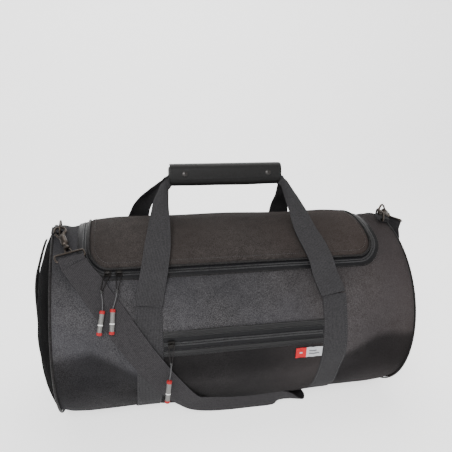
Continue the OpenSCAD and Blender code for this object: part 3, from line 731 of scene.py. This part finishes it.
def make_pocket():
    """The front pocket between the bands: its cloth, welts, zip tapes and teeth."""
    half = BAND_X - WEB / 2 - 0.0004
    zip_t = 1.0  # angle of the zip's middle
    part = barrel_patch("pocket_fabric", -half, half, -66, zip_t - 7.2, 0.0012, 0.0012, POCKET_FABRIC, 90, 50,
        shape=pocket_puff, tone=pocket_light_and_shade)
    dress(part, "woven_fabric", "pocket_panel")
    for name, t0 in (("upper", zip_t + 3.5), ("lower", zip_t - 7.1)):
        part = barrel_patch(f"welt_{name}", -half, half, t0, t0 + 3.6, 0.0017, 0.0014, WELT, 50, 22,
            shape=welt_profile)
        dress(part, "welt", f"pocket_welt_{name}")
    for name, t0 in (("a", zip_t - 3.4), ("b", zip_t + 0.1)):
        part = barrel_patch(f"pocket_tape_{name}", -half, half, t0, t0 + 3.3, 0.0010, 0.0008, TAPE, 50, 6)
        dress(part, "tape", *(["pocket_zip_tapes"] if name == "a" else []))
    xs = np.linspace(-half, half, 120)
    for name, t in (("a", zip_t - 0.62), ("b", zip_t + 0.62)):
        across = skin(xs, t + 0.7, 0.0020) - skin(xs, t - 0.7, 0.0020)
        part = teeth(f"pocket_teeth_{name}", skin(xs, t, 0.0020), across, (0.0014, 0.00062, 0.0008), "bag")
        dress(part, "coil", *(["pocket_zip_coil"] if name == "a" else []))


make_pocket()


def make_label():
    """The woven label: a red part with a small square, a grey part with two plain bars."""
    marks = np.zeros((28, 7), int)
    marks[11:] = 1
    marks[4:7, 3] = 1
    marks[14:25, 2] = 2
    marks[14:22, 4] = 2
    start, end = 0.0775, 0.1195
    gx, gt = lattice(start, end, 29, -14.2, -7.9, 8)
    lift = 0.0042 + 0.0004 * np.cos(20 * gx / (end - start))
    part = cloth("label", skin(gx, gt, lift), 0.0009, [LABEL_RED, LABEL_GREY, LABEL_DARK], "bag", gx,
        R * np.radians(gt), face_mat=marks)
    dress(part, "label", "front_label")


make_label()

# ---------------- stitches


def stitches(name, rows, body, pitch=0.0034, length=0.0022, radius=0.00032):
    """Rows of thread dashes: each row is points with the way out of the cloth at each."""
    verts, faces = [], []
    for points, out in rows:
        run = lengths(points)

        def at(distance, values):
            return np.array([np.interp(distance, run, values[:, k]) for k in range(3)])

        for start in np.arange(pitch / 2, run[-1] - length, pitch):
            a, b, n = at(start, points), at(start + length, points), unit(at(start, out))
            w = unit(np.cross(b - a, n))
            mid = (a + b) / 2
            for f in ((0, 1, 2), (0, 2, 3), (4, 2, 1), (4, 3, 2), (0, 5, 1), (0, 3, 5), (4, 1, 5), (4, 5, 3)):
                faces.append(tuple(len(verts) + k for k in f))
            verts += [a, mid + w * radius, mid + n * radius * 1.6, mid - w * radius, b, mid - n * radius]
    dress(add_mesh(name, verts, faces, THREAD, body, None, None, 70), "webbing")


def skin_row(x0, t0, x1, t1, off, n):
    """A straight row of n points on the barrel, with the way out at each."""
    xs, ts = np.linspace(x0, x1, n), np.linspace(t0, t1, n)
    p = skin(xs, ts, off)
    return p, skin(xs, ts, off + 0.01) - p


def make_stitches():
    """Seams on the bands, over the pocket, round the zip and round the lid."""
    rows = []
    for side, _ in SIDES:
        for edge in (-1, 1):
            x = side * BAND_X + edge * (WEB / 2 - 0.0024)
            rows.append(skin_row(x, 21, x, -90, 0.0018, 160))
            rows.append(skin_row(x, -201, x, -90, 0.0018, 160))
    half = BAND_X - WEB / 2 - 0.002
    rows.append(skin_row(-half, 9.3, half, 9.3, 0.0002, 120))
    plan = lid_edge(0.0178)
    p = on_lid(plan, 0.0002)
    rows.append((p, on_lid(plan, 0.01) - p))
    stitches("stitches_bag", rows, "bag")
    plan = lid_edge(-0.0075, rear=LID_FRONT - 0.01)
    x, t = plan[:, 0], angle_of(plan[:, 1])
    p = around(x, t, R + 0.0062)
    stitches("stitches_lid", [(p, around(x, t, R + 1.0062) - p)], "lid")


make_stitches()

# ---------------- carry handles

leg_line = curve_through([(0, -0.1430, 0.2088), (0, -0.1380, 0.2240), (0, -0.1318, 0.2405), (0, -0.1249, 0.2558),
    (0, -0.1090, 0.2714), (0, -0.0850, 0.2938), (0, -0.0560, 0.3212), (0, -0.0280, 0.3482), (0, -0.0090, 0.3660),
    (0, -0.0030, 0.3725), (0, -0.0005, 0.3765)], 0.003)


def leg_centre(side, rear, share):
    """Distance of a leg's middle from the bag's middle, at each share of its length: each leg hangs its own way."""
    if rear and side < 0:
        return np.interp(share, [0, 0.33, 0.62, 0.85, 0.95, 1], [0.140, 0.1440, 0.136, 0.1175, 0.101, 0.086])
    places = [0.140, 0.129, 0.121, 0.116, 0.110, 0.101, 0.086]
    if side > 0 and not rear:
        places = [0.1375, 0.1245, 0.116, 0.110, 0.106, 0.100, 0.086]
    return np.interp(share, [0, 0.22, 0.41, 0.56, 0.77, 0.93, 1], places)


def leg_grid(side, rear):
    """Outer face of one handle leg, from its root to inside the grip: nine rows along the webbing."""
    run = lengths(leg_line)
    share = run / run[-1]
    width = np.interp(share, [0, 0.40, 0.56, 0.77, 0.92, 1], [WEB, WEB, 0.033, 0.022, 0.011, 0.010])
    soften = np.hanning(9) / np.hanning(9).sum()
    centre, width = (np.convolve(np.pad(w, 4, mode="edge"), soften, "valid")
        for w in (leg_centre(side, rear, share), width))
    way = np.gradient(leg_line, axis=0)
    step = np.linalg.norm(way, axis=1)
    out = unit(np.stack([0 * step, -np.abs(way[:, 2]), np.abs(way[:, 1])], -1))
    lean = np.gradient(centre) / step
    wave = 0.0011 * np.sin(share * 21 + side) * smooth(share / 0.2)
    if not rear:  # pressed in where the zip's pulls pass in front of it
        wave = wave - 0.0052 * bump_of(share - 0.125, 0.085)
    curl = (WEB - width) * 0.24 + 0.0006
    grid = np.zeros((9, len(share), 3))
    for k, c in enumerate(np.linspace(-1, 1, 9)):
        grid[k] = leg_line + out * (0.0009 + wave - curl * c * c)[:, None]
        grid[k, :, 0] = side * centre + c * width / 2
        grid[k] -= unit(way) * (c * width / 2 * lean * side)[:, None]
    if rear:
        grid[:, :, 1] *= -1
    return grid, run


def make_handle(rear):
    """One carry handle: two legs that bend at their roots, and the run of webbing inside the grip."""
    body = "handle_rear" if rear else "handle_front"
    toward = 1 if rear else -1
    for side, name in SIDES:
        grid, run = leg_grid(side, rear)
        part = cloth(f"{body}_leg_{name}", grid, WEB_THICK, WEBBING, None, np.linspace(0, WEB, 9), run, outward=toward)
        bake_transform(part)
        nodes = [f"{body}_webbing"] + (["handle_front_roots"] if not rear else [])
        dress(part, "webbing", *(nodes if side < 0 else []))
    gx, gz = lattice(-0.088, 0.088, 30, GRIP_Z - 0.0105, GRIP_Z + 0.0105, 6)
    grid = np.stack([gx, np.full_like(gx, toward * 0.0037 - 0.0009), gz], -1)
    dress(cloth(f"{body}_run", grid, WEB_THICK, WEBBING, body, gz, gx), "webbing")


make_handle(False)
make_handle(True)


def half_bar(name, half_y, half_z, length, mat, body, side):
    """Half of a soft rounded bar, on the front (side -1) or rear (side 1)."""
    power, lumps, end_round, flat = 2.6, 0.0007, 0.006, 0.0002
    last = length / 2 - end_round
    bend = end_round * np.sin(np.linspace(0, math.pi / 2, 7))
    xs = np.concatenate([-last - bend[::-1], np.linspace(-last, last, 46)[1:-1], last + bend])
    turn = np.linspace(-math.pi / 2, math.pi / 2, 25)
    c, q = np.cos(turn), np.sin(turn)
    grid = np.zeros((len(xs), 25, 3))
    for i, x in enumerate(xs):
        d = max(0.0, abs(x) - last) / end_round
        s = 1 - 0.16 * (1 - math.sqrt(max(0.0, 1 - d * d)))
        lump = lumps * (math.sin(31 * x + 1) * 0.5 + math.sin(73 * x + side) * 0.3)
        grid[i, :, 0] = x
        grid[i, :, 1] = side * np.maximum((half_y * s + lump) * np.abs(c) ** (2 / power), flat)
        grid[i, :, 2] = GRIP_Z + (half_z * s + lump) * np.sign(q) * np.abs(q) ** (2 / power)
    n, m = grid.shape[:2]
    faces = []
    for near in range(0, (n - 1) * m, m):
        faces += [(near + j, near + m + j, near + m + j + 1, near + j + 1) for j in range(m - 1)]
        faces.append((near + m - 1, near + 2 * m - 1, near + m, near))
    faces += [tuple(range(m)), tuple(range((n - 1) * m, n * m))[::-1]]
    uv = grid[..., [0, 2]].reshape(-1, 2)
    return add_mesh(name, grid.reshape(-1, 3), [f[::side * -1] for f in faces], mat, body, uv, None, 40)


def make_grip():
    """The padded grip: a wrapped half on each handle, the flap over them and its two snaps."""
    for side, name in ((-1, "front"), (1, "rear")):
        part = half_bar(f"grip_wrap_{name}", GRIP_HALF_Y, GRIP_HALF_Z, GRIP_LENGTH, LEATHER, f"handle_{name}", side)
        dress(part, "grip_leather", f"grip_cover_{name}", f"grip_pad_{name}")
    # the flap: over the top from behind the middle, down the front
    profile = [(0.006, 0.0179), (0.001, 0.0181), (-0.004, 0.0180), (-0.0085, 0.0173), (-0.0118, 0.0152),
        (-0.0138, 0.0118), (-0.0146, 0.0066), (-0.0148, 0.0006), (-0.0148, -0.0042)]
    line = curve_through([(0, y, GRIP_Z + z) for y, z in profile], 0.0015)
    tuck = 1 - 0.022 * np.clip(1 - lengths(line) / 0.009, 0, 1) ** 2
    xs = np.linspace(-0.0922, 0.0922, 60)
    grid = np.tile(line, (60, 1, 1))
    grid[..., 0] = np.outer(xs, tuck)
    drop = 0.0006 * np.sin(40 * xs) + 0.002 * np.maximum(0, (np.abs(xs) - 0.088) / 0.005) ** 2
    grid[:, -4:, 2] += np.outer(drop, [0.2, 0.5, 0.8, 1])
    flap = cloth("grip_flap_leather", grid, 0.0014, LEATHER, "flap", xs, lengths(line))
    dress(flap, "grip_leather", "grip_flap")
    dome = ((0.0, 0.0050), (0.12, 0.0052), (0.30, 0.0051), (0.55, 0.0044), (0.78, 0.0032), (0.93, 0.0016),
        (1.0, 0.0002))
    rings = [(share, r, 0) for share, r in dome]
    for side, name in SIDES:
        foot, crown = (np.array([side * SNAP_X, y, GRIP_Z + z]) for y, z in ((-0.0148, 0.004), (-0.0176, 0.0042)))
        cap = lathe(f"snap_dome_{name}", foot, crown, rings, [SNAP], "flap", 28)
        dress(cap, "nickel", *(["grip_snap_caps"] if side < 0 else []))
    front = np.array([[x, -0.0149, GRIP_Z - 0.0024] for x in np.linspace(-0.09, 0.09, 80)])
    stitches("stitches_flap", [(front, np.tile([0.0, -1.0, 0.0], (80, 1)))], "flap", 0.003, 0.002, 0.00028)


make_grip()

# ---------------- zip pulls


tape_t = math.degrees(math.acos((LID_FRONT + ZIP_LINE * EDGE_K) / (R + 0.0005)))
pocket_pivot = around(-0.110, 1, R + 0.0066)
PIVOTS = {
    "left": around(-0.1942, tape_t, R + 0.0054),
    "right": around(-0.1785, tape_t, R + 0.0054),
    "pocket": pocket_pivot,
}
# the knot, then the top and the bottom of the grip
PULLS = {
    "left": (around(-0.204, 31, 0.1596), around(-0.203, 21.5, 0.1612), around(-0.209, 9.5, 0.1612)),
    "right": (around(-0.182, 31, 0.1596), around(-0.189, 22, 0.1612), around(-0.192, 9.5, 0.1612)),
    "pocket": tuple(pocket_pivot + drop for drop in ((-0.001, 0, -0.027), (-0.004, 0, -0.053), (-0.008, 0, -0.088))),
}
GREY_PART, RED_PART, WHITE_PART = 0, 1, 2
PULL_RINGS = [(0.0, 0.0022, RED_PART), (0.01, 0.0033, RED_PART), (0.03, 0.0037, RED_PART), (0.125, 0.0038, RED_PART),
    (0.13, 0.0034, GREY_PART), (0.16, 0.0033, GREY_PART), (0.55, 0.0033, GREY_PART),
    (0.555, 0.0036, WHITE_PART), (0.60, 0.0036, WHITE_PART),
    (0.605, 0.0033, GREY_PART), (0.84, 0.0033, GREY_PART), (0.87, 0.0034, GREY_PART),
    (0.875, 0.0038, RED_PART), (0.97, 0.0037, RED_PART), (0.99, 0.0033, RED_PART), (1.0, 0.0022, RED_PART)]


def make_pull(name):
    """One zip pull: its wire tab, the knotted cord and the moulded grip."""
    body = f"pull_{name}"
    knot, top, bottom = PULLS[name]
    grip = lathe(f"pull_grip_body_{name}", top, bottom, PULL_RINGS, [PULL_GREY, PULL_RED, PULL_WHITE], body)
    dress(grip, "pull_plastic", f"pull_grip_{name}")
    inside = top + (bottom - top) * 0.16
    mid = (knot + top) / 2 + np.array([0.0008, 0, 0.0004])
    path = curve_through([knot, mid, top, inside], 0.0014)
    cord = tube(f"pull_cord_line_{name}", path, 0.0009, CORD, body, 10)
    dress(cord, "cord", f"pull_cord_{name}")
    way = unit(top - knot)
    side = unit(np.cross(way, (1, 0, 0.1)))
    up = np.cross(way, side)
    turns = np.linspace(0, 4 * math.pi, 40)[:, None]
    coil = knot + way * 0.0009 * (turns / math.pi - 1) + 0.0012 * (np.cos(turns) * side + np.sin(turns) * up)
    dress(tube(f"pull_knot_{name}", coil, 0.0013, KNOT, body, 8), "cord")
    pivot = PIVOTS[name]
    down = unit(knot - pivot)
    bar, eye, foot = (np.array([half, 0, 0]) for half in (0.0034, 0.0040, 0.0011))
    corners = [pivot - bar, pivot + bar, pivot + eye + down * 0.0014, knot + foot, knot + down * 0.0008,
        knot - foot, pivot - eye + down * 0.0014, pivot - bar]
    wire = tube(f"pull_wire_{name}", curve_through(corners, 0.0009)[:-1], 0.00062, WIRE, body, 10, closed=True)
    dress(wire, "nickel", f"pull_tab_{name}")


for pull in PULLS:
    make_pull(pull)

# ---------------- shoulder strap

# the route, point by point: from the left hook down the front, under the bag, and up the right end to the right hook
STRAP = [(-0.240, -0.106, 0.265), (-0.230, -0.117, 0.252), (-0.219, -0.126, 0.240), (-0.209, -0.135, 0.226),
    (-0.198, -0.142, 0.211), (-0.187, -0.148, 0.196), (-0.177, -0.152, 0.180), (-0.166, -0.155, 0.164),
    (-0.156, -0.155, 0.148), (-0.145, -0.154, 0.132), (-0.134, -0.151, 0.116), (-0.124, -0.147, 0.101),
    (-0.113, -0.141, 0.086), (-0.103, -0.135, 0.072), (-0.094, -0.128, 0.060), (-0.084, -0.120, 0.048),
    (-0.072, -0.111, 0.037), (-0.056, -0.102, 0.028), (-0.037, -0.0958, 0.022), (-0.014, -0.0918, 0.0185),
    (0.010, -0.0908, 0.0175), (0.034, -0.0908, 0.0175), (0.057, -0.0908, 0.0175), (0.076, -0.088, 0.0168),
    (0.092, -0.079, 0.008), (0.105, -0.066, 0.002), (0.109, -0.050, 0.001), (0.1015, -0.035, 0.001),
    (0.0995, -0.019, 0.001), (0.0995, 0.002, 0.001), (0.0995, 0.026, 0.001), (0.104, 0.046, 0.001),
    (0.118, 0.061, 0.001), (0.136, 0.068, 0.001), (0.160, 0.069, 0.001), (0.195, 0.069, 0.001),
    (0.232, 0.069, 0.001), (0.270, 0.069, 0.001), (0.292, 0.068, 0.001), (0.305, 0.068, 0.005),
    (0.312, 0.067, 0.014), (0.316, 0.061, 0.030), (0.317, 0.048, 0.060), (0.317, 0.030, 0.108),
    (0.317, 0.017, 0.156), (0.316, 0.008, 0.204), (0.312, 0.004, 0.240), (0.3065, 0.0025, 0.261),
    (0.3016, 0.0004, 0.276), (0.3014, -0.0034, 0.2886)]


def strap_face(p):
    """The way that the strap's outer face looks at a point of its route."""
    if p[0] > 0.3:  # up the right end to the hook
        return [1, max(p[2] - 0.235, 0) / 0.068, -0.0006 / max(p[2], 0.0006)]
    if p[2] > 0.040:  # down the front of the barrel
        return [0, p[1], p[2] - AXIS_Z]
    if p[1] > -0.07:  # flat under the bag
        return [0, 0, -1]
    stand = min(max(0.107 - p[0], 0) / 0.035, 1)  # standing on its edge in front of the bag
    return [0, -0.89 * stand, -1 + 0.54 * stand]


def make_strap():
    """The shoulder strap, swept along its route; returns its rows for the folds at its ends."""
    path = curve_through(STRAP, 0.006)
    way = unit(np.gradient(path, axis=0))
    face = unit(np.array([strap_face(p) for p in path]))
    for _ in range(4):
        face = np.vstack([face[:1], (face[:-2] + face[1:-1] * 2 + face[2:]) / 4, face[-1:]])
    side = unit(np.cross(way, face))
    up = np.cross(side, way)
    grid = np.array([path + side * c * WEB / 2 + up * (0.0008 - 0.0005 * c ** 4) for c in np.linspace(-1, 1, 9)])
    grid[..., 2] = np.maximum(grid[..., 2], 0.0002)
    part = cloth("strap", grid, 0.0016, STRAP_WEB, "bag", np.linspace(0, WEB, 9), lengths(path), outward=-1)
    dress(part, "webbing", "shoulder_strap")
    return grid


strap_rows = make_strap()

# ---------------- end handles and ring tabs


def make_end_handle(side, name):
    """The grab handle down one end: webbing that bows out from the panel."""
    line = curve_through([(0.2884, 0, 0.277), (0.2918, 0, 0.268), (0.2955, 0, 0.257), (0.2990, 0, 0.245),
        (0.3028, 0, 0.232), (0.3054, 0, 0.218), (0.3067, 0, 0.204), (0.3070, 0, 0.190), (0.3068, 0, 0.176),
        (0.3062, 0, 0.164), (0.3052, 0, 0.150)], 0.004)
    way = np.gradient(line, axis=0)
    out = unit(np.stack([-way[:, 2], 0 * way[:, 1], way[:, 0]], -1))
    mirror = np.array([side, 1, 1])
    ys = np.linspace(-WEB / 2, WEB / 2, 9)
    across = np.array([0, 1.0, 0])
    grid = np.array([line + out * (0.0009 - 0.0008 * (2 * y / WEB) ** 2) + across * y for y in ys]) * mirror
    part = cloth(f"end_handle_web_{name}", grid, WEB_THICK, WEBBING, "bag", ys, lengths(line), outward=side)
    dress(part, "webbing", f"end_handle_{name}")
    rows = []
    for end in (slice(0, 6), slice(len(line) - 6, len(line))):
        for y in (-0.015, 0.015):
            rows.append(((line[end] + out[end] * 0.0010) * mirror + across * y, out[end] * mirror))
    stitches(f"stitches_end_{name}", rows, "bag")


for side, name in SIDES:
    make_end_handle(side, name)


def ring_frame(x, ly, lz):
    """A point in the ring's own frame: lz out of the barrel, ly up and back along it."""
    a = math.radians(14)
    return np.array([x, ly * math.cos(a) - lz * math.sin(a), AXIS_Z + ly * math.sin(a) + lz * math.cos(a)])


def make_ring_tab(side, name):
    """The webbing tab that holds a ring: round the ring's bar and back to the rim."""
    loop = [(0.2755, 0.1552), (0.2700, 0.1556), (0.2655, 0.1568), (0.2640, 0.1578), (0.2620, 0.1583),
        (0.2600, 0.1578), (0.2588, 0.1562), (0.2590, 0.1538), (0.2612, 0.1522), (0.2650, 0.1520),
        (0.2700, 0.1522), (0.2755, 0.1526)]
    ys = np.linspace(-0.0106, 0.0106, 7)
    line = curve_through([(x, 0, z) for x, z in loop], 0.0008)
    grid = np.array([[ring_frame(side * p[0], y, p[2]) for p in line] for y in ys])
    part = cloth(f"ring_tab_{name}", grid, 0.0012, WEBBING, "bag", ys, lengths(line), outward=-side)
    dress(part, "webbing", *(["ring_tabs"] if side < 0 else []))


for side, name in SIDES:
    make_ring_tab(side, name)

# ---------------- snap hooks


def turned(axis, degrees):
    """The rotation matrix about one axis, 0 for X, 1 for Y, 2 for Z."""
    c, q = math.cos(math.radians(degrees)), math.sin(math.radians(degrees))
    m = np.eye(3)
    a, b = (axis + 1) % 3, (axis + 2) % 3
    m[a, a], m[a, b], m[b, a], m[b, b] = c, -q, q, c
    return m


# how each hook is turned, where its mouth's middle is, and how its loop is turned on its shank
HOOKS = {
    "left": (turned(0, 33) @ turned(2, 17), ring_frame(-0.262, -0.013, 0.1605), np.eye(3)),
    "right": (turned(0, 14) @ turned(2, 37) @ turned(1, -58) @ turned(0, 90) @ turned(1, 180),
        ring_frame(0.262, 0, 0.1707), turned(1, 90)),
}
LOOP_NEAR, LOOP_FAR, LOOP_HALF = 0.047, 0.059, 0.021


def make_hook(name):
    """One snap hook: its cast body, the swivel's collar and the wire loop that holds the strap."""
    turn, origin, twist = HOOKS[name]

    def put(points, inner=np.eye(3)):
        return np.asarray(points, float) @ (turn @ inner).T + origin

    mouth_r, shank_top, shank_end = 0.008, -0.0135, -0.0345
    mouth = np.radians(np.linspace(186, -62, 40))
    arc = [(mouth_r * math.cos(a), mouth_r * math.sin(a), 0) for a in mouth]
    points = np.array(arc + [(0, y, 0) for y in np.linspace(shank_top, shank_end, 22)])
    run = lengths(points)
    bend = run[len(arc) - 1]
    places = [0, 0.0015, 0.006, bend * 0.75] + [bend + more for more in (0, 0.005, 0.010, 0.020, 0.0235, 0.0245)]
    radius = np.interp(run, places, [0.0010, 0.0016, 0.0017, 0.0018, 0.0030, 0.0042, 0.0052, 0.0052, 0.0045, 0.0029])
    body = tube(f"hook_cast_{name}", put(points), radius, NICKEL, f"snap_hook_{name}", 20, sharp=60)
    dress(body, "nickel", f"hook_{name}")
    collar = ((0, 0.0030), (0.12, 0.0043), (0.35, 0.0046), (0.70, 0.0046), (0.90, 0.0042), (1.0, 0.0028))
    rings = [(share, r, 0) for share, r in collar]
    ends = put([(0, -0.0348, 0), (0, -0.0392, 0)])
    dress(lathe(f"hook_collar_{name}", ends[0], ends[1], rings, [NICKEL], "bag", 24), "nickel")
    near, far = -LOOP_NEAR, -LOOP_FAR
    half, soft, trim = LOOP_HALF, 0.003, 0.0008
    left = [(-0.004, near), (-half + soft, near), (-half + trim, near - trim), (-half, near - soft),
        (-half, far + soft), (-half + trim, far + trim), (-half + soft, far)]
    outline = left + [(0, far)] + [(-x, y) for x, y in left[::-1]]
    loop = curve_through([(x, y, 0) for x, y in outline], 0.0012)[:-1]
    wire = tube(f"hook_loop_{name}", put(loop, twist), 0.0014, NICKEL, "bag", 12, closed=True)
    dress(wire, "nickel", f"hook_swivel_{name}")
    for side, letter in ((-1, "a"), (1, "b")):
        arm = curve_through([(side * x, y, 0) for x, y in ((0.0022, -0.0380), (0.0034, -0.0405), (0.0040, -0.0440),
            (0.0042, near))], 0.001)
        dress(tube(f"hook_arm_{name}_{letter}", put(arm, twist), 0.0013, NICKEL, "bag", 10), "nickel")


for _, name in SIDES:
    make_hook(name)


def make_strap_fold(name, end, out):
    """The end of the strap: from its last row to the loop's far bar, over it, round it and back under."""
    turn, origin, twist = HOOKS[name]
    bar = turn @ np.array([0, -LOOP_FAR, 0]) + origin
    axis = turn @ twist @ np.array([1.0, 0, 0])
    if axis @ (end[-1] - end[0]) < 0:
        axis = -axis
    back = end.mean(0) - bar
    back = unit(back - axis * (axis @ back))
    up = np.cross(axis, back)
    if up @ np.array(out) < 0:
        up = -up
    r = 0.0031  # outer face of the fold round the bar
    line = [(0.0045, r * 0.98), (0.002, r)]
    line += [(-r * math.sin(a) * 1.05, r * math.cos(a)) for a in np.linspace(0, math.pi, 14)]
    line += [(0.003, -r * 0.9), (0.006, -r * 0.75)]
    across = np.linspace(-1, 1, 9)
    tight = [np.array([bar + back * a + up * u + axis * c * WEB / 2 * 0.975 for c in across]) for a, u in line]
    lead = [end * (1 - w) + tight[0] * w + up * 0.0006 * math.sin(math.pi * w) for w in (0, 0.25, 0.5, 0.75)]
    grid = np.array(lead + tight).transpose(1, 0, 2)
    flip = -1 if np.cross(grid[1, 0] - grid[0, 0], grid[0, 1] - grid[0, 0]) @ up < 0 else 1
    part = cloth(f"strap_fold_{name}", grid, 0.0014, STRAP_WEB, "bag", (across + 1) * WEB / 2, lengths(grid[4]),
        outward=flip)
    dress(part, "webbing", *(["strap_end_folds"] if name == "left" else []))
    rows = []
    for w in (0.35, 0.62):
        p = (end * (1 - w) + tight[0] * w)[1:8] + up * 0.0012
        rows.append((p, np.tile(up, (7, 1))))
    stitches(f"stitches_fold_{name}", rows, "bag", 0.0032, 0.0022, 0.0003)


make_strap_fold("left", strap_rows[:, 0], (0, -0.68, 0.73))
make_strap_fold("right", strap_rows[:, -1], (1, 0.3, 0))

# ---------------- CAD pieces shown as they are

SHOWN = {
    LINING: ("lid_lining", "pocket_lining"),
    BOARD: ("base_board",),
    GUNMETAL: ("zip_slider_left", "zip_slider_right", "pocket_slider"),
    SNAP: ("grip_snap_studs",),
    NICKEL: ("ring_left", "ring_right", "hook_gate_left", "hook_gate_right"),
    PLASTIC: ("strap_adjuster",),
}
for material, names in SHOWN.items():
    for node in names:
        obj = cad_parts[node]
        obj.data.materials.clear()
        obj.data.materials.append(material)

# ---------------- stage and light


def make_stage():
    """A pale paper sweep, lit a little from within so that it stays even."""
    profile = [(-3.0, 0), (1.4, 0), (1.7, 0.03), (2.0, 0.14), (2.25, 0.35), (2.4, 0.65), (2.45, 1.0), (2.45, 3.2)]
    verts = [(x, y, z) for x in (-4.5, 4.5) for y, z in profile]
    n = len(profile)
    faces = [(k, k + n, k + n + 1, k + 1) for k in range(n - 1)]
    s = Shader("stage_paper", rough=0.95, specular=0.05)
    s.color(s.mix((0.54, 0.54, 0.54), (0.56, 0.56, 0.56), s.noise(2)))
    s.out.inputs["Emission Color"].default_value = (1, 1, 1, 1)
    s.out.inputs["Emission Strength"].default_value = 1.5
    floor = add_mesh("stage_floor", verts, faces, s.material, None, None, None, 180)


def area_light(name, place, aim, size, power, tone=(1, 1, 1)):
    """A soft rectangular light at a place, turned to its aim."""
    data = bpy.data.lights.new(name, "AREA")
    data.shape = "RECTANGLE"
    data.size, data.size_y = size
    data.energy = power
    data.color = tone
    lamp = bpy.data.objects.new(name, data)
    bpy.context.collection.objects.link(lamp)
    lamp.location = place
    lamp.rotation_euler = (Vector(aim) - Vector(place)).to_track_quat("-Z", "Y").to_euler()


make_stage()
area_light("key", (-0.8, -2.1, 1.35), (0, 0, 0.15), (1.5, 1.0), 95)
area_light("top", (0.3, 0.3, 2.3), (0, 0, 0.2), (2.0, 1.4), 30, (1, 0.98, 0.95))
area_light("side", (2.1, -0.9, 1.0), (0.2, 0, 0.15), (1.0, 1.0), 16, (1, 0.94, 0.90))
area_light("backdrop_light", (0, 0.9, 2.2), (0, 2.3, 0.9), (2.6, 0.6), 40)

world = bpy.data.worlds.new("studio")
bpy.context.scene.world = world
world.use_nodes = True
world.node_tree.nodes["Background"].inputs[0].default_value = (1, 1, 1, 1)
world.node_tree.nodes["Background"].inputs[1].default_value = 0.35
